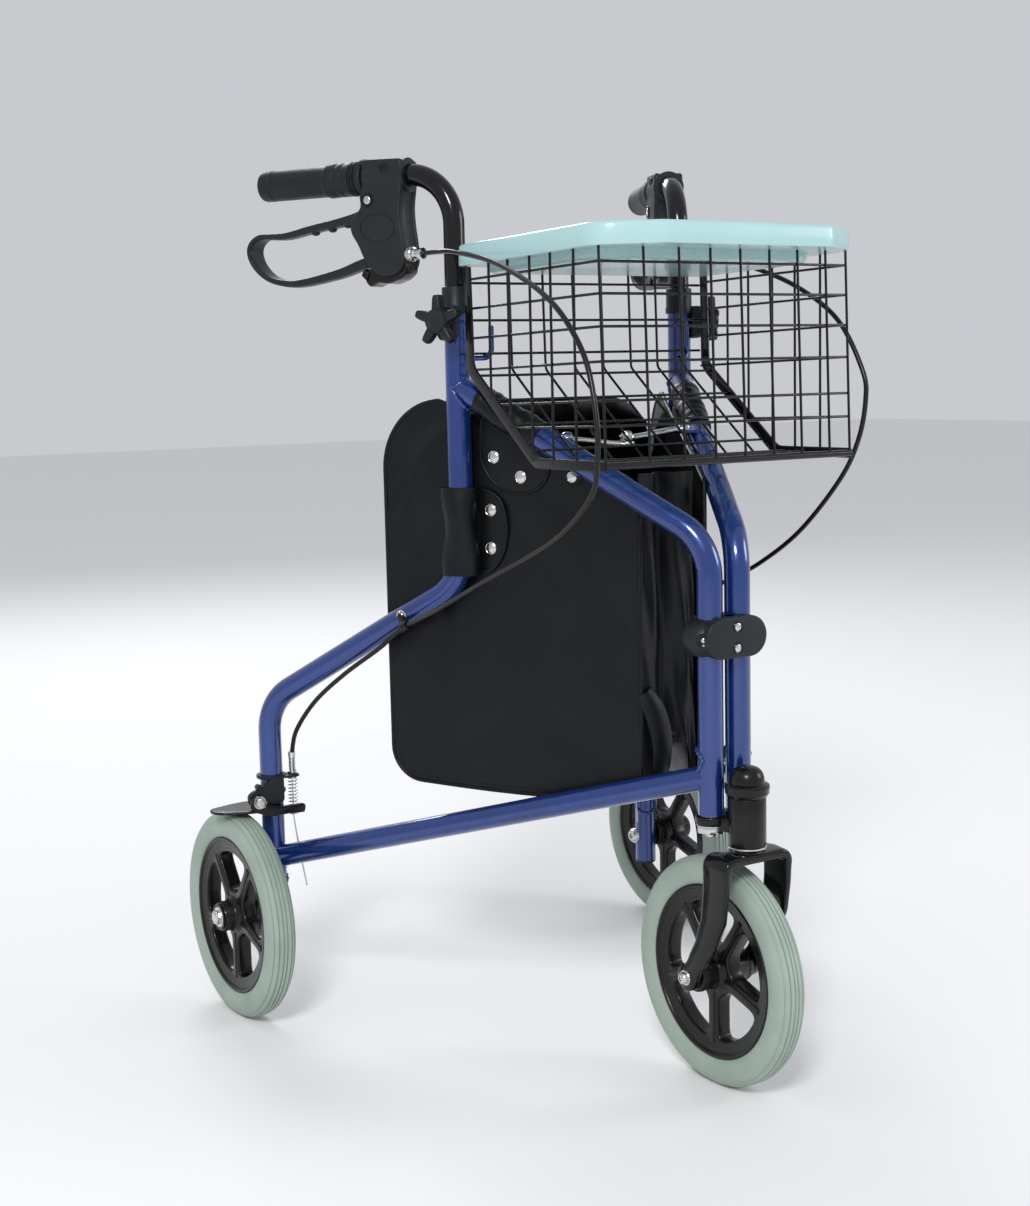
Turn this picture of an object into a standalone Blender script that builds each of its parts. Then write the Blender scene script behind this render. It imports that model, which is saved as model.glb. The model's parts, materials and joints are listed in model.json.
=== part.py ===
"""Three-wheeled rollator walker with a folding frame, basket, tray, bag and loop brakes.

Metres, +Z up. The walker travels towards -Y, its user's right hand is at -X, and
the origin is on the ground under the middle of the whole walker.
"""

import math

import bmesh
import bpy
from mathutils import Matrix, Vector

GAP = 0.0003
RUNNING = 0.0003

# Driving dimensions: wheels, steel tube and the walker's plan
WHEEL_R = 0.100
WHEEL_STEPS = 36
TYRE_HALF = 0.0140
TUBE_R = 0.011
TUBE_WALL = 0.0016
HANDLE_R = 0.0095
POST_X = 0.015
POST_Y = -0.2135
SPREAD = math.radians(27.3)
UPRIGHT_U = 0.240
LEG_U = 0.4635

# Heights of the side frames
UPRIGHT_TOP = 0.6720
SLOPE_START_Z = 0.4311
SLOPE_END_Z = 0.3058
LEG_BOTTOM = 0.072
UPPER_Z = 0.4730
UPPER_RISE = 0.5554
LOWER_Z = 0.2743
LOWER_FALL = 0.2657
POST_BOTTOM = 0.2416
BEND_R = 0.050
COPE_TURN = 0.07
BORE_OVERRUN = 0.012
CABLE_POINTS = 44
TUBE_RESOLUTION = 4
BORE_RESOLUTION = 4

# Head, caster fork and wheels
HEAD_Y = -0.029
HEAD_R = 0.0160
HEAD_BOTTOM = 0.2190
HEAD_TOP = 0.2600
PLATE_Z = (0.2270, 0.2410)
CLAMP_Z = (0.3760, 0.4110)
FORK_TOP = 0.2140
AXLE_Y = 0.0095
AXLE_R = 0.0040
FRONT_HUB_HALF = 0.0285
REAR_WHEEL_X = 0.2635
REAR_WHEEL_Y = 0.4179
REAR_HUB_HALF = 0.0222
HUB_R = 0.0145

# Handles, measured along the side frame's plane from the upright
HANDLE_Z = 0.7925
HANDLE_BEND_R = 0.046
HANDLE_FOOT = 0.520
GRIP_SPAN = (0.0945, 0.2045)
GRIP_R = 0.0140
HOUSING_HALF = 0.0140
LEVER_PIVOT = (0.0810, 0.7718)
KNOB_Z = 0.6625

# Basket and tray
BASKET_HALF = 0.1313
BASKET_FLOOR = 0.5380
RIM_REAR = (0.1846, 0.7085)
RIM_FRONT = (-0.0086, 0.7128)
BASKET_WALL = 0.0030
TRAY_HALF = 0.1370
TRAY_Y = (-0.0400, 0.1950)
TRAY_HEIGHT = 0.0185
TRAY_CHAMFER = (0.0500, 0.0300)
TRAY_WELL = 0.0120
TRAY_FLOOR = 0.0055
TRAY_WALL = 0.0025
RAISED = 0.040

# Bag, brace and brakes
BAG_BOTTOM = 0.2390
BAG_TOP = 0.5920
BAG_U = (0.0700, 0.3280)
PANEL_N = (-0.0143, -0.0113)
BRACE_U = 0.140
BRACE_N = -0.0160
BRACE_Z = 0.5598
BRACE_THICK = 0.0020
SPRING_XY = (0.2085, 0.4050)
SPRING_R = 0.0042
ARM_PIVOT = (0.2520, 0.2135)

X_AXIS = Vector((1.0, 0.0, 0.0))
Y_AXIS = Vector((0.0, 1.0, 0.0))
Z_AXIS = Vector((0.0, 0.0, 1.0))


def at(x, y, z):
    """A point measured from the line between the two posts."""
    return Vector((x, POST_Y + y, z))


def in_frame(side, u, z, n=0.0):
    """A point on a side frame: u along it from the post, n outward from its plane."""
    x = side * (POST_X + u * math.sin(SPREAD) + n * math.cos(SPREAD))
    return at(x, u * math.cos(SPREAD) - n * math.sin(SPREAD), z)


def frame_axes(side):
    """Unit vectors along a side frame and outward from it."""
    along = Vector((side * math.sin(SPREAD), math.cos(SPREAD), 0.0))
    outward = Vector((side * math.cos(SPREAD), -math.sin(SPREAD), 0.0))
    return along, outward


def clear_scene():
    for obj in list(bpy.data.objects):
        bpy.data.objects.remove(obj, do_unlink=True)


def make_material(name, colour, roughness, metallic=0.0):
    material = bpy.data.materials.new(name)
    material.use_nodes = True
    shader = material.node_tree.nodes["Principled BSDF"]
    shader.inputs["Base Color"].default_value = (*colour, 1.0)
    shader.inputs["Roughness"].default_value = roughness
    shader.inputs["Metallic"].default_value = metallic
    material.diffuse_color = (*colour, 1.0)
    return material


def add_object(name, mesh, material, collection):
    obj = bpy.data.objects.new(name, mesh)
    collection.objects.link(obj)
    if not mesh.materials:
        mesh.materials.append(material)
    return obj


def finish_mesh(bm, name, smooth_angle=35.0):
    """Turn a bmesh into a mesh with soft shading across shallow edges."""
    bmesh.ops.recalc_face_normals(bm, faces=bm.faces)
    mesh = bpy.data.meshes.new(name)
    bm.to_mesh(mesh)
    bm.free()
    mesh.shade_smooth()
    mesh.set_sharp_from_angle(angle=math.radians(smooth_angle))
    return mesh


def box_mesh(name, low, high, bevel=0.0, matrix=None):
    """A box between two corners, with optional rounded edges, then placed by a matrix."""
    bm = bmesh.new()
    bmesh.ops.create_cube(bm, size=1.0)
    size = Vector(high) - Vector(low)
    bmesh.ops.scale(bm, vec=size, verts=bm.verts)
    bmesh.ops.translate(bm, vec=(Vector(high) + Vector(low)) / 2.0, verts=bm.verts)
    if bevel:
        bmesh.ops.bevel(bm, geom=bm.edges[:], offset=bevel, segments=2, affect="EDGES", profile=0.5)
    if matrix is not None:
        bmesh.ops.transform(bm, matrix=matrix, verts=bm.verts)
    return finish_mesh(bm, name)


def aim(origin, axis, turn=0.0):
    """A matrix whose local Z lies along an axis at an origin."""
    rotation = Vector(axis).to_track_quat("Z", "Y").to_matrix().to_4x4()
    return Matrix.Translation(origin) @ rotation @ Matrix.Rotation(turn, 4, "Z")


def rod_mesh(name, start, end, radius, sides=16, turn=0.0):
    """A solid cylinder between two points."""
    start = Vector(start)
    end = Vector(end)
    bm = bmesh.new()
    bmesh.ops.create_cone(bm, cap_ends=True, segments=sides, radius1=radius, radius2=radius,
                          depth=(end - start).length)
    bmesh.ops.transform(bm, matrix=aim((start + end) / 2.0, end - start, turn), verts=bm.verts)
    return finish_mesh(bm, name)


def apply_modifiers(obj):
    """Replace an object's data by its evaluated mesh, with loose caps welded."""
    depsgraph = bpy.context.evaluated_depsgraph_get()
    mesh = bpy.data.meshes.new_from_object(obj.evaluated_get(depsgraph))
    bm = bmesh.new()
    bm.from_mesh(mesh)
    bmesh.ops.remove_doubles(bm, verts=bm.verts, dist=0.00001)
    bm.to_mesh(mesh)
    bm.free()
    solid = bpy.data.objects.new(obj.name + "_mesh", mesh)
    solid.matrix_world = obj.matrix_world
    for collection in obj.users_collection:
        collection.objects.link(solid)
    name = obj.name
    bpy.data.objects.remove(obj, do_unlink=True)
    solid.name = name
    mesh.name = name
    mesh.shade_smooth()
    mesh.set_sharp_from_angle(angle=math.radians(35.0))
    return solid


def tube_object(name, points, radius, material, collection, resolution=3):
    """A solid round tube along a line of points."""
    curve = bpy.data.curves.new(name, "CURVE")
    curve.dimensions = "3D"
    curve.bevel_depth = radius
    curve.bevel_resolution = resolution
    curve.use_fill_caps = True
    spline = curve.splines.new("POLY")
    spline.points.add(len(points) - 1)
    for point, place in zip(spline.points, points):
        point.co = (*place, 1.0)
    curve.materials.append(material)
    obj = bpy.data.objects.new(name, curve)
    collection.objects.link(obj)
    return apply_modifiers(obj)


def plate_object(name, outline, thickness, matrix, material, collection):
    """A flat plate: a closed 2D outline extruded both ways from the matrix's XY plane."""
    curve = bpy.data.curves.new(name, "CURVE")
    curve.dimensions = "2D"
    curve.fill_mode = "BOTH"
    curve.extrude = thickness / 2.0
    spline = curve.splines.new("POLY")
    spline.points.add(len(outline) - 1)
    for point, place in zip(spline.points, outline):
        point.co = (place[0], place[1], 0.0, 1.0)
    spline.use_cyclic_u = True
    curve.materials.append(material)
    obj = bpy.data.objects.new(name, curve)
    obj.matrix_world = matrix
    collection.objects.link(obj)
    return apply_modifiers(obj)


def turned_object(name, profile, matrix, material, collection, steps=32, closed=False):
    """A shape turned about the matrix's Z axis from (radius, height) points, top first."""
    bm = bmesh.new()
    verts = [bm.verts.new((radius, 0.0, height)) for radius, height in profile]
    for first, second in zip(verts, verts[1:]):
        bm.edges.new((first, second))
    if closed:
        bm.edges.new((verts[-1], verts[0]))
    mesh = bpy.data.meshes.new(name)
    bm.to_mesh(mesh)
    bm.free()
    obj = add_object(name, mesh, material, collection)
    obj.matrix_world = matrix
    screw = obj.modifiers.new("turn", "SCREW")
    screw.steps = steps
    screw.render_steps = steps
    screw.use_merge_vertices = True
    screw.merge_threshold = 0.00005
    return apply_modifiers(obj)


def combine(target, tool, operation, guides):
    """Cut a tool from a target, or join it on, with the tool kept as a hidden guide."""
    modifier = target.modifiers.new(operation.lower(), "BOOLEAN")
    modifier.operation = operation
    modifier.solver = "EXACT"
    modifier.object = tool
    for collection in list(tool.users_collection):
        collection.objects.unlink(tool)
    guides.objects.link(tool)
    tool.hide_render = True
    tool.display_type = "WIRE"


def arc_path(corners, radii, steps=5):
    """A line through corners, each rounded by an arc of its radius."""
    path = [Vector(corners[0])]
    for before, corner, after, radius in zip(corners, corners[1:], corners[2:], radii):
        back = (Vector(before) - Vector(corner)).normalized()
        ahead = (Vector(after) - Vector(corner)).normalized()
        half = back.angle(ahead) / 2.0
        reach = radius / math.tan(half)
        centre = Vector(corner) + (back + ahead).normalized() * (radius / math.sin(half))
        start = Vector(corner) + back * reach - centre
        end = Vector(corner) + ahead * reach - centre
        for step in range(steps + 1):
            path.append(centre + partial_turn(start, end, step / steps))
    path.append(Vector(corners[-1]))
    return path


def partial_turn(start, end, share):
    """A point part of the way round an arc, as an offset from its centre."""
    axis = start.cross(end).normalized()
    return Matrix.Rotation(start.angle(end) * share, 3, axis) @ start


def smooth_route(points, count):
    """A smooth line of evenly counted points through a route's points."""
    route = [Vector(point) for point in points]
    padded = [route[0] * 2.0 - route[1]] + route + [route[-1] * 2.0 - route[-2]]
    line = []
    for step in range(count):
        place = step * (len(route) - 1) / (count - 1)
        index = min(int(place), len(route) - 2)
        t = place - index
        p0, p1, p2, p3 = padded[index:index + 4]
        line.append(0.5 * ((2.0 * p1) + (p2 - p0) * t + (2.0 * p0 - 5.0 * p1 + 4.0 * p2 - p3) * t * t
                           + (3.0 * p1 - p0 - 3.0 * p2 + p3) * t * t * t))
    return line


def rounded_outline(half_x, low_y, high_y, front_r, rear_r, steps=6):
    """A rectangle with rounded corners, of one radius at the front and one at the rear."""
    centres = (
        (half_x - front_r, low_y + front_r, front_r, -90.0),
        (half_x - rear_r, high_y - rear_r, rear_r, 0.0),
        (-half_x + rear_r, high_y - rear_r, rear_r, 90.0),
        (-half_x + front_r, low_y + front_r, front_r, 180.0),
    )
    outline = []
    for x, y, radius, start in centres:
        for step in range(steps + 1):
            angle = math.radians(start + 90.0 * step / steps)
            outline.append((x + radius * math.cos(angle), y + radius * math.sin(angle)))
    return outline


def eased_outline(corners, steps=3):
    """A polygon whose corners (x, y, easing) are softened over a distance to each side."""
    outline = []
    for index, (x, y, easing) in enumerate(corners):
        corner = Vector((x, y))
        before = Vector(corners[index - 1][:2])
        after = Vector(corners[(index + 1) % len(corners)][:2])
        first = corner + (before - corner).normalized() * easing
        last = corner + (after - corner).normalized() * easing
        for step in range(steps + 1):
            t = step / steps
            place = first * (1.0 - t) ** 2 + corner * (2.0 * t * (1.0 - t)) + last * t ** 2
            outline.append((place.x, place.y))
    return outline


def capsule_outline(start, end, radius, steps=6):
    """Two half circles joined by straight sides."""
    start = Vector(start)
    end = Vector(end)
    heading = math.atan2(end.y - start.y, end.x - start.x)
    outline = []
    for centre, first in ((end, heading - math.pi / 2.0), (start, heading + math.pi / 2.0)):
        for step in range(steps + 1):
            angle = first + math.pi * step / steps
            outline.append((centre.x + radius * math.cos(angle), centre.y + radius * math.sin(angle)))
    return outline


class Walker:
    """Builds the walker's pieces into one collection, body by body."""

    def __init__(self):
        self.parts = bpy.data.collections.new("tri_walker")
        self.guides = bpy.data.collections.new("guides")
        bpy.context.scene.collection.children.link(self.parts)
        bpy.context.scene.collection.children.link(self.guides)
        self.blue = make_material("blue_paint", (0.015, 0.05, 0.30), 0.28, 0.45)
        self.black_gloss = make_material("black_paint", (0.012, 0.012, 0.013), 0.25)
        self.plastic = make_material("black_plastic", (0.035, 0.040, 0.042), 0.55)
        self.rubber = make_material("grip_rubber", (0.030, 0.033, 0.036), 0.75)
        self.tyre_grey = make_material("tyre_grey", (0.40, 0.46, 0.41), 0.70)
        self.steel = make_material("zinc_steel", (0.62, 0.63, 0.64), 0.35, 1.0)
        self.aqua = make_material("aqua_plastic", (0.50, 0.74, 0.74), 0.30)
        self.vinyl = make_material("black_vinyl", (0.016, 0.016, 0.018), 0.50)
        self.wire = make_material("black_wire", (0.014, 0.014, 0.015), 0.40)
        self.pivots = {}

    def pivot(self, name, place, parent=None):
        """An empty on a joint's axis that its pieces hang from."""
        empty = bpy.data.objects.new(name, None)
        empty.empty_display_size = 0.02
        empty.location = place
        self.parts.objects.link(empty)
        if parent is not None:
            empty.parent = self.pivots[parent]
            empty.location = Vector(place) - self.world_place(parent)
        self.pivots[name] = empty
        return empty

    def world_place(self, name):
        empty = self.pivots[name]
        place = empty.location.copy()
        while empty.parent is not None:
            empty = empty.parent
            place += empty.location
        return place

    def hang(self, obj, pivot):
        """Parent a finished piece to its joint's empty without moving it."""
        empty = self.pivots[pivot]
        obj.parent = empty
        obj.matrix_parent_inverse = Matrix.Translation(self.world_place(pivot)).inverted()
        return obj

    def rod(self, name, start, end, radius, material, sides=16, turn=0.0):
        return add_object(name, rod_mesh(name, start, end, radius, sides, turn), material, self.parts)

    def box(self, name, low, high, material, bevel=0.0, matrix=None):
        return add_object(name, box_mesh(name, low, high, bevel, matrix), material, self.parts)

    def cut(self, target, tool):
        combine(target, tool, "DIFFERENCE", self.guides)

    def join(self, target, tool):
        combine(target, tool, "UNION", self.guides)

    def hollow_tube(self, name, path, radius, wall, material, welded=None, copes=()):
        """A steel tube, open at both ends, with a piece welded on and its ends coped."""
        tube = tube_object(name, path, radius, material, self.parts, TUBE_RESOLUTION)
        if welded is not None:
            self.join(tube, welded)
        for cope in copes:
            self.cut(tube, cope)
        inner = [point.copy() for point in path]
        inner[0] += (path[0] - path[1]).normalized() * BORE_OVERRUN
        inner[-1] += (path[-1] - path[-2]).normalized() * BORE_OVERRUN
        corner_r = (radius - wall) / math.cos(math.pi / (4 + 2 * BORE_RESOLUTION))
        self.cut(tube, tube_object(name + "_bore", inner, corner_r, material, self.parts, BORE_RESOLUTION))
        return tube

    def cope(self, name, place, low, high):
        """A cutter that fits a tube's end to the upright tube it meets."""
        return self.rod(name, place + Z_AXIS * low, place + Z_AXIS * high, TUBE_R + GAP, self.blue, 24,
                        COPE_TURN)

    # Side frames -----------------------------------------------------------------

    def side_frame(self, side, word):
        """Upright with its bent leg, top tube with the hinge post, and lower tube."""
        pivot = "fold_" + word
        self.pivot(pivot, at(side * POST_X, 0.0, 0.0))
        outward = frame_axes(side)[1]

        rear = arc_path([in_frame(side, UPRIGHT_U, UPRIGHT_TOP), in_frame(side, UPRIGHT_U, SLOPE_START_Z),
                         in_frame(side, LEG_U, SLOPE_END_Z), in_frame(side, LEG_U, LEG_BOTTOM)],
                        [BEND_R, BEND_R])
        tube = self.hollow_tube("rear_tube_" + word, rear, TUBE_R, TUBE_R - HANDLE_R - RUNNING, self.blue,
                                self.hook(side, word))
        axle = at(side * REAR_WHEEL_X, REAR_WHEEL_Y, WHEEL_R)
        leg = in_frame(side, LEG_U, WHEEL_R)
        self.cut(tube, self.rod("leg_hole_" + word, (leg.x - 0.02, axle.y, WHEEL_R),
                                (leg.x + 0.02, axle.y, WHEEL_R), AXLE_R + RUNNING, self.blue, 10))
        stud = in_frame(side, UPRIGHT_U, KNOB_Z)
        self.cut(tube, self.rod("stud_hole_" + word, stud + outward * 0.004, stud + outward * 0.02,
                                0.0036, self.blue, 8))
        self.hang(tube, pivot)

        top_u = UPRIGHT_U - 0.003
        front = arc_path([in_frame(side, top_u, UPPER_Z + UPPER_RISE * top_u), in_frame(side, 0.0, UPPER_Z),
                          in_frame(side, 0.0, POST_BOTTOM)], [BEND_R])
        cope = self.cope("cope_upper_" + word, in_frame(side, UPRIGHT_U, 0.0), 0.5, 0.7)
        tube = self.hollow_tube("front_tube_" + word, front, TUBE_R, TUBE_WALL, self.blue,
                                self.brace_lug(side, word), [cope])
        self.hang(tube, pivot)

        low_u = LEG_U - 0.003
        lower = [in_frame(side, 0.0035, LOWER_Z - LOWER_FALL * 0.0035),
                 in_frame(side, low_u, LOWER_Z - LOWER_FALL * low_u)]
        copes = [self.cope("cope_post_" + word, in_frame(side, 0.0, 0.0), 0.22, 0.33),
                 self.cope("cope_leg_" + word, in_frame(side, LEG_U, 0.0), 0.1, 0.2)]
        tube = self.hollow_tube("lower_tube_" + word, lower, TUBE_R - 0.0005, TUBE_WALL, self.blue, None,
                                copes)
        self.hang(tube, pivot)

    def hook(self, side, word):
        """The upturned hook on the upright that the basket's rear wire hangs in."""
        along = frame_axes(side)[0]
        root = in_frame(side, UPRIGHT_U, 0.640) - along * (TUBE_R - 0.002)
        path = arc_path([root, root - along * 0.0262, root - along * 0.0262 + Z_AXIS * 0.030], [0.008], 4)
        return tube_object("hook_" + word, path, 0.0025, self.blue, self.parts, 1)

    def brace_lug(self, side, word):
        """A lug on the top tube with the pin that a brace link turns on."""
        level = BRACE_Z if side < 0 else BRACE_Z + BRACE_THICK + GAP
        pin = in_frame(side, BRACE_U, 0.0, BRACE_N)
        start = in_frame(side, BRACE_U, 0.0, -0.004)
        heading = Vector((start.x - pin.x, start.y - pin.y, 0.0))
        matrix = Matrix.Translation((pin.x, pin.y, level - GAP - 0.00175))
        lug = plate_object("lug_" + word, capsule_outline((0.0, 0.0, 0.0), heading, 0.0062, 4), 0.0035,
                           matrix, self.blue, self.parts)
        self.join(lug, self.rod("lug_pin_" + word, (pin.x, pin.y, level - 0.002),
                                (pin.x, pin.y, level + 0.0030), 0.0025, self.blue, 8))
        self.join(lug, self.rod("lug_head_" + word, (pin.x, pin.y, level + BRACE_THICK + GAP),
                                (pin.x, pin.y, level + BRACE_THICK + 0.0022), 0.0045, self.blue, 10))
        return lug

    def brace_link(self, side, word):
        """One of the two flat links of the folding cross brace."""
        pin = in_frame(side, BRACE_U, 0.0, BRACE_N)
        level = BRACE_Z if side < 0 else BRACE_Z + BRACE_THICK + GAP
        pivot = "brace_" + word
        self.pivot(pivot, pin, "fold_" + word)
        matrix = Matrix.Translation((pin.x, pin.y, level + BRACE_THICK / 2.0))
        link = plate_object("brace_link_" + word, capsule_outline((0.0, 0.0, 0.0), (-pin.x, 0.0, 0.0), 0.006),
                            BRACE_THICK, matrix, self.steel, self.parts)
        self.cut(link, self.rod("brace_hole_" + word, (pin.x, pin.y, level - 0.01),
                                (pin.x, pin.y, level + 0.01), 0.0025 + RUNNING, self.steel, 12))
        if side > 0:
            top = level + BRACE_THICK
            self.join(link, self.rod("brace_rivet", (0.0, pin.y, top - 0.001), (0.0, pin.y, top + 0.0015),
                                     0.0045, self.steel, 12))
        self.hang(link, pivot)

    # Head and caster -------------------------------------------------------------

    def head(self):
        """Head tube, its cap, the bracket under the posts, their bolts and the clamp."""
        base = at(0.0, HEAD_Y, 0.0)
        turned_object("head_tube", [(HEAD_R, HEAD_TOP), (HEAD_R, HEAD_BOTTOM), (0.0064, HEAD_BOTTOM),
                                    (0.0064, HEAD_TOP)], Matrix.Translation(base), self.black_gloss,
                      self.parts, 32, True)
        low = HEAD_TOP + GAP
        dome = [(0.0, low + 0.0262), (0.006, low + 0.0258), (0.0105, low + 0.0238), (0.0138, low + 0.0198),
                (0.0148, low + 0.0155), (0.0150, low + 0.0118), (0.0182, low + 0.0110),
                (0.0190, low + 0.0090), (0.0190, low + 0.0030), (0.0182, low + 0.0008),
                (0.0165, low), (0.0, low)]
        turned_object("head_cap", dome, Matrix.Translation(base), self.plastic, self.parts, 20)

        outline = capsule_outline((-POST_X, 0.0, 0.0), (POST_X, 0.0, 0.0), 0.0135, 6)
        middle = (PLATE_Z[0] + PLATE_Z[1]) / 2.0
        thickness = PLATE_Z[1] - PLATE_Z[0]
        bracket = plate_object("head_bracket", outline, thickness, Matrix.Translation(at(0.0, 0.0, middle)),
                               self.black_gloss, self.parts)
        arm = plate_object("bracket_arm", rounded_outline(0.0195, HEAD_Y - 0.0195, 0.002, 0.0190, 0.002, 6),
                           thickness - 0.002, Matrix.Translation(at(0.0, 0.0, middle)), self.black_gloss,
                           self.parts)
        self.join(bracket, arm)
        self.cut(bracket, self.rod("bracket_bore", at(0.0, HEAD_Y, 0.2), at(0.0, HEAD_Y, 0.26),
                                   HEAD_R + GAP, self.black_gloss, 24))
        for word, side in (("right", -1), ("left", 1)):
            self.cut(bracket, self.rod("bolt_hole_" + word, at(side * POST_X, 0.0, 0.21),
                                       at(side * POST_X, 0.0, 0.26), 0.0050 + RUNNING, self.black_gloss, 16))
            self.pivot_bolt(side, word)
        self.clamp()

    def pivot_bolt(self, side, word):
        """A bolt up through the bracket into a post: nut, plain shank and bush."""
        base = at(side * POST_X, 0.0, 0.0)
        bush_r = TUBE_R - TUBE_WALL - RUNNING
        nut = PLATE_Z[0] - GAP
        profile = [(0.0, 0.3100), (bush_r - 0.001, 0.3100), (bush_r, 0.3090), (bush_r, 0.2430),
                   (0.0050, 0.2430), (0.0050, nut), (0.0082, nut), (0.0082, nut - 0.0085),
                   (0.0072, nut - 0.0095), (0.0, nut - 0.0095)]
        turned_object("pivot_bolt_" + word, profile, Matrix.Translation(base), self.steel, self.parts, 14)

    def clamp(self):
        """The two-part clamp round both posts, with its screw heads."""
        low, high = CLAMP_Z
        outline = capsule_outline((-POST_X, 0.0, 0.0), (POST_X, 0.0, 0.0), 0.0165, 10)
        for name, sign in (("clamp_front", -1.0), ("clamp_rear", 1.0)):
            middle = Matrix.Translation(at(0.0, 0.0, (low + high) / 2.0))
            half = plate_object(name, outline, high - low, middle,
                                self.plastic, self.parts)
            keep_out = (at(-0.05, 0.0 if sign < 0 else -0.05, low - 0.01),
                        at(0.05, 0.05 if sign < 0 else 0.0, high + 0.01))
            shift = Vector((0.0, -GAP / 2.0 if sign < 0 else GAP / 2.0, 0.0))
            self.cut(half, self.box(name + "_split", keep_out[0] + shift, keep_out[1] + shift, self.plastic))
            for word, side in (("right", -1), ("left", 1)):
                self.cut(half, self.rod(name + "_bore_" + word, at(side * POST_X, 0.0, low - 0.01),
                                        at(side * POST_X, 0.0, high + 0.01), TUBE_R + RUNNING,
                                        self.plastic, 24))
            if sign < 0:
                for label, z in (("low", low + 0.0085), ("high", high - 0.0085)):
                    self.join(half, self.rod("clamp_screw_" + label, at(0.0, -0.0150, z), at(0.0, -0.0178, z),
                                             0.0036, self.steel, 12))

    def caster(self):
        """Fork, stem, washer and axle, turning together about the head tube's axis."""
        self.pivot("caster", at(0.0, HEAD_Y, 0.0))
        stem = [(0.0, 0.2580), (0.0060, 0.2580), (0.0060, HEAD_BOTTOM - GAP), (0.0105, HEAD_BOTTOM - GAP),
                (0.0105, FORK_TOP + GAP), (0.0, FORK_TOP + GAP)]
        self.hang(turned_object("fork_stem", stem, Matrix.Translation(at(0.0, HEAD_Y, 0.0)), self.steel,
                                self.parts, 20), "caster")
        fork = self.box("caster_fork", at(-0.0370, HEAD_Y - 0.0165, FORK_TOP - 0.0085),
                        at(0.0370, HEAD_Y + 0.0165, FORK_TOP), self.black_gloss, 0.0025)
        turn = Matrix(((0.0, 0.0, 1.0, 0.0), (1.0, 0.0, 0.0, 0.0), (0.0, 1.0, 0.0, 0.0),
                       (0.0, 0.0, 0.0, 1.0)))
        for word, side in (("right", -1), ("left", 1)):
            place = Matrix.Translation(at(side * 0.0335, 0.0, 0.0)) @ turn
            leg = plate_object("fork_leg_" + word, self.fork_outline(), 0.0060, place, self.black_gloss,
                               self.parts)
            self.join(fork, leg)
        self.cut(fork, self.rod("fork_axle_hole", at(-0.05, AXLE_Y, WHEEL_R), at(0.05, AXLE_Y, WHEEL_R),
                                AXLE_R + RUNNING, self.black_gloss, 16))
        self.hang(fork, "caster")
        self.hang(self.axle("front_axle", at(0.0, AXLE_Y, WHEEL_R), X_AXIS, 0.0365 + GAP, 0.0365 + GAP),
                  "caster")
        self.pivot("front_spin", at(0.0, AXLE_Y, WHEEL_R), "caster")
        self.wheel("front", at(0.0, AXLE_Y, WHEEL_R), FRONT_HUB_HALF, "front_spin")

    def fork_outline(self):
        """A fork leg from the side: wide under the crown, swept back to a round axle eye."""
        front = [(HEAD_Y - 0.0150, FORK_TOP - 0.004), (HEAD_Y - 0.0152, 0.186), (-0.0405, 0.160),
                 (-0.0315, 0.136), (-0.0160, 0.112)]
        eye = []
        for step in range(7):
            angle = math.radians(222.0 + 200.0 * step / 6.0)
            eye.append((AXLE_Y + 0.0115 * math.cos(angle), WHEEL_R + 0.0115 * math.sin(angle)))
        rear = [(0.0085, 0.1215), (-0.0035, 0.1400), (-0.0105, 0.1600), (-0.0128, 0.1860),
                (HEAD_Y + 0.0150, FORK_TOP - 0.004)]
        return front + eye + rear

    def axle(self, name, centre, axis, inner, outer):
        """A bolt along an axis with a round head outside and a nut inside."""
        profile = [(0.0, outer + 0.0055), (0.0045, outer + 0.0055), (0.0072, outer + 0.0040),
                   (0.0080, outer), (AXLE_R, outer), (AXLE_R, -inner), (0.0075, -inner),
                   (0.0075, -inner - 0.0060), (0.0055, -inner - 0.0072), (0.0, -inner - 0.0072)]
        return turned_object(name, profile, aim(centre, axis), self.steel, self.parts, 12)

    # Wheels ----------------------------------------------------------------------

    def wheel(self, word, centre, hub_half, pivot):
        """A grey tyre on a black five-spoked rim with a long hub."""
        facet = math.pi / WHEEL_STEPS
        outer = WHEEL_R / math.cos(facet)
        tyre = [(0.0767, 0.0112), (0.0860, TYRE_HALF), (0.0940, 0.0134), (0.0985, 0.0095), (outer, 0.0045)]
        tyre += [(radius, -across) for radius, across in reversed(tyre)]
        spin = aim(centre, X_AXIS) @ Matrix.Rotation(facet, 4, "Z")
        self.hang(turned_object(word + "_tyre", tyre, spin, self.tyre_grey, self.parts, WHEEL_STEPS, True),
                  pivot)
        ring = [(0.0761, 0.0110), (0.0761, -0.0110), (0.0722, -0.0110), (0.0700, -0.0072),
                (0.0615, -0.0060), (0.0615, 0.0060), (0.0700, 0.0072), (0.0722, 0.0110)]
        rim = turned_object(word + "_rim", ring, spin, self.plastic, self.parts, WHEEL_STEPS, True)
        self.join(rim, self.rod(word + "_hub", centre - X_AXIS * hub_half, centre + X_AXIS * hub_half,
                                HUB_R, self.plastic, 14))
        for index in range(5):
            angle = math.radians(-90.0 + 72.0 * index)
            turn = Matrix.Translation(centre) @ Matrix.Rotation(angle, 4, "X")
            self.join(rim, self.box("%s_spoke_%d" % (word, index), (-0.0055, 0.0100, -0.0062),
                                    (0.0055, 0.0635, 0.0062), self.plastic, 0.0, turn))
        self.cut(rim, self.rod(word + "_hub_bore", centre - X_AXIS * 0.04, centre + X_AXIS * 0.04,
                               AXLE_R + RUNNING, self.plastic, 12))
        self.hang(rim, pivot)

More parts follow.
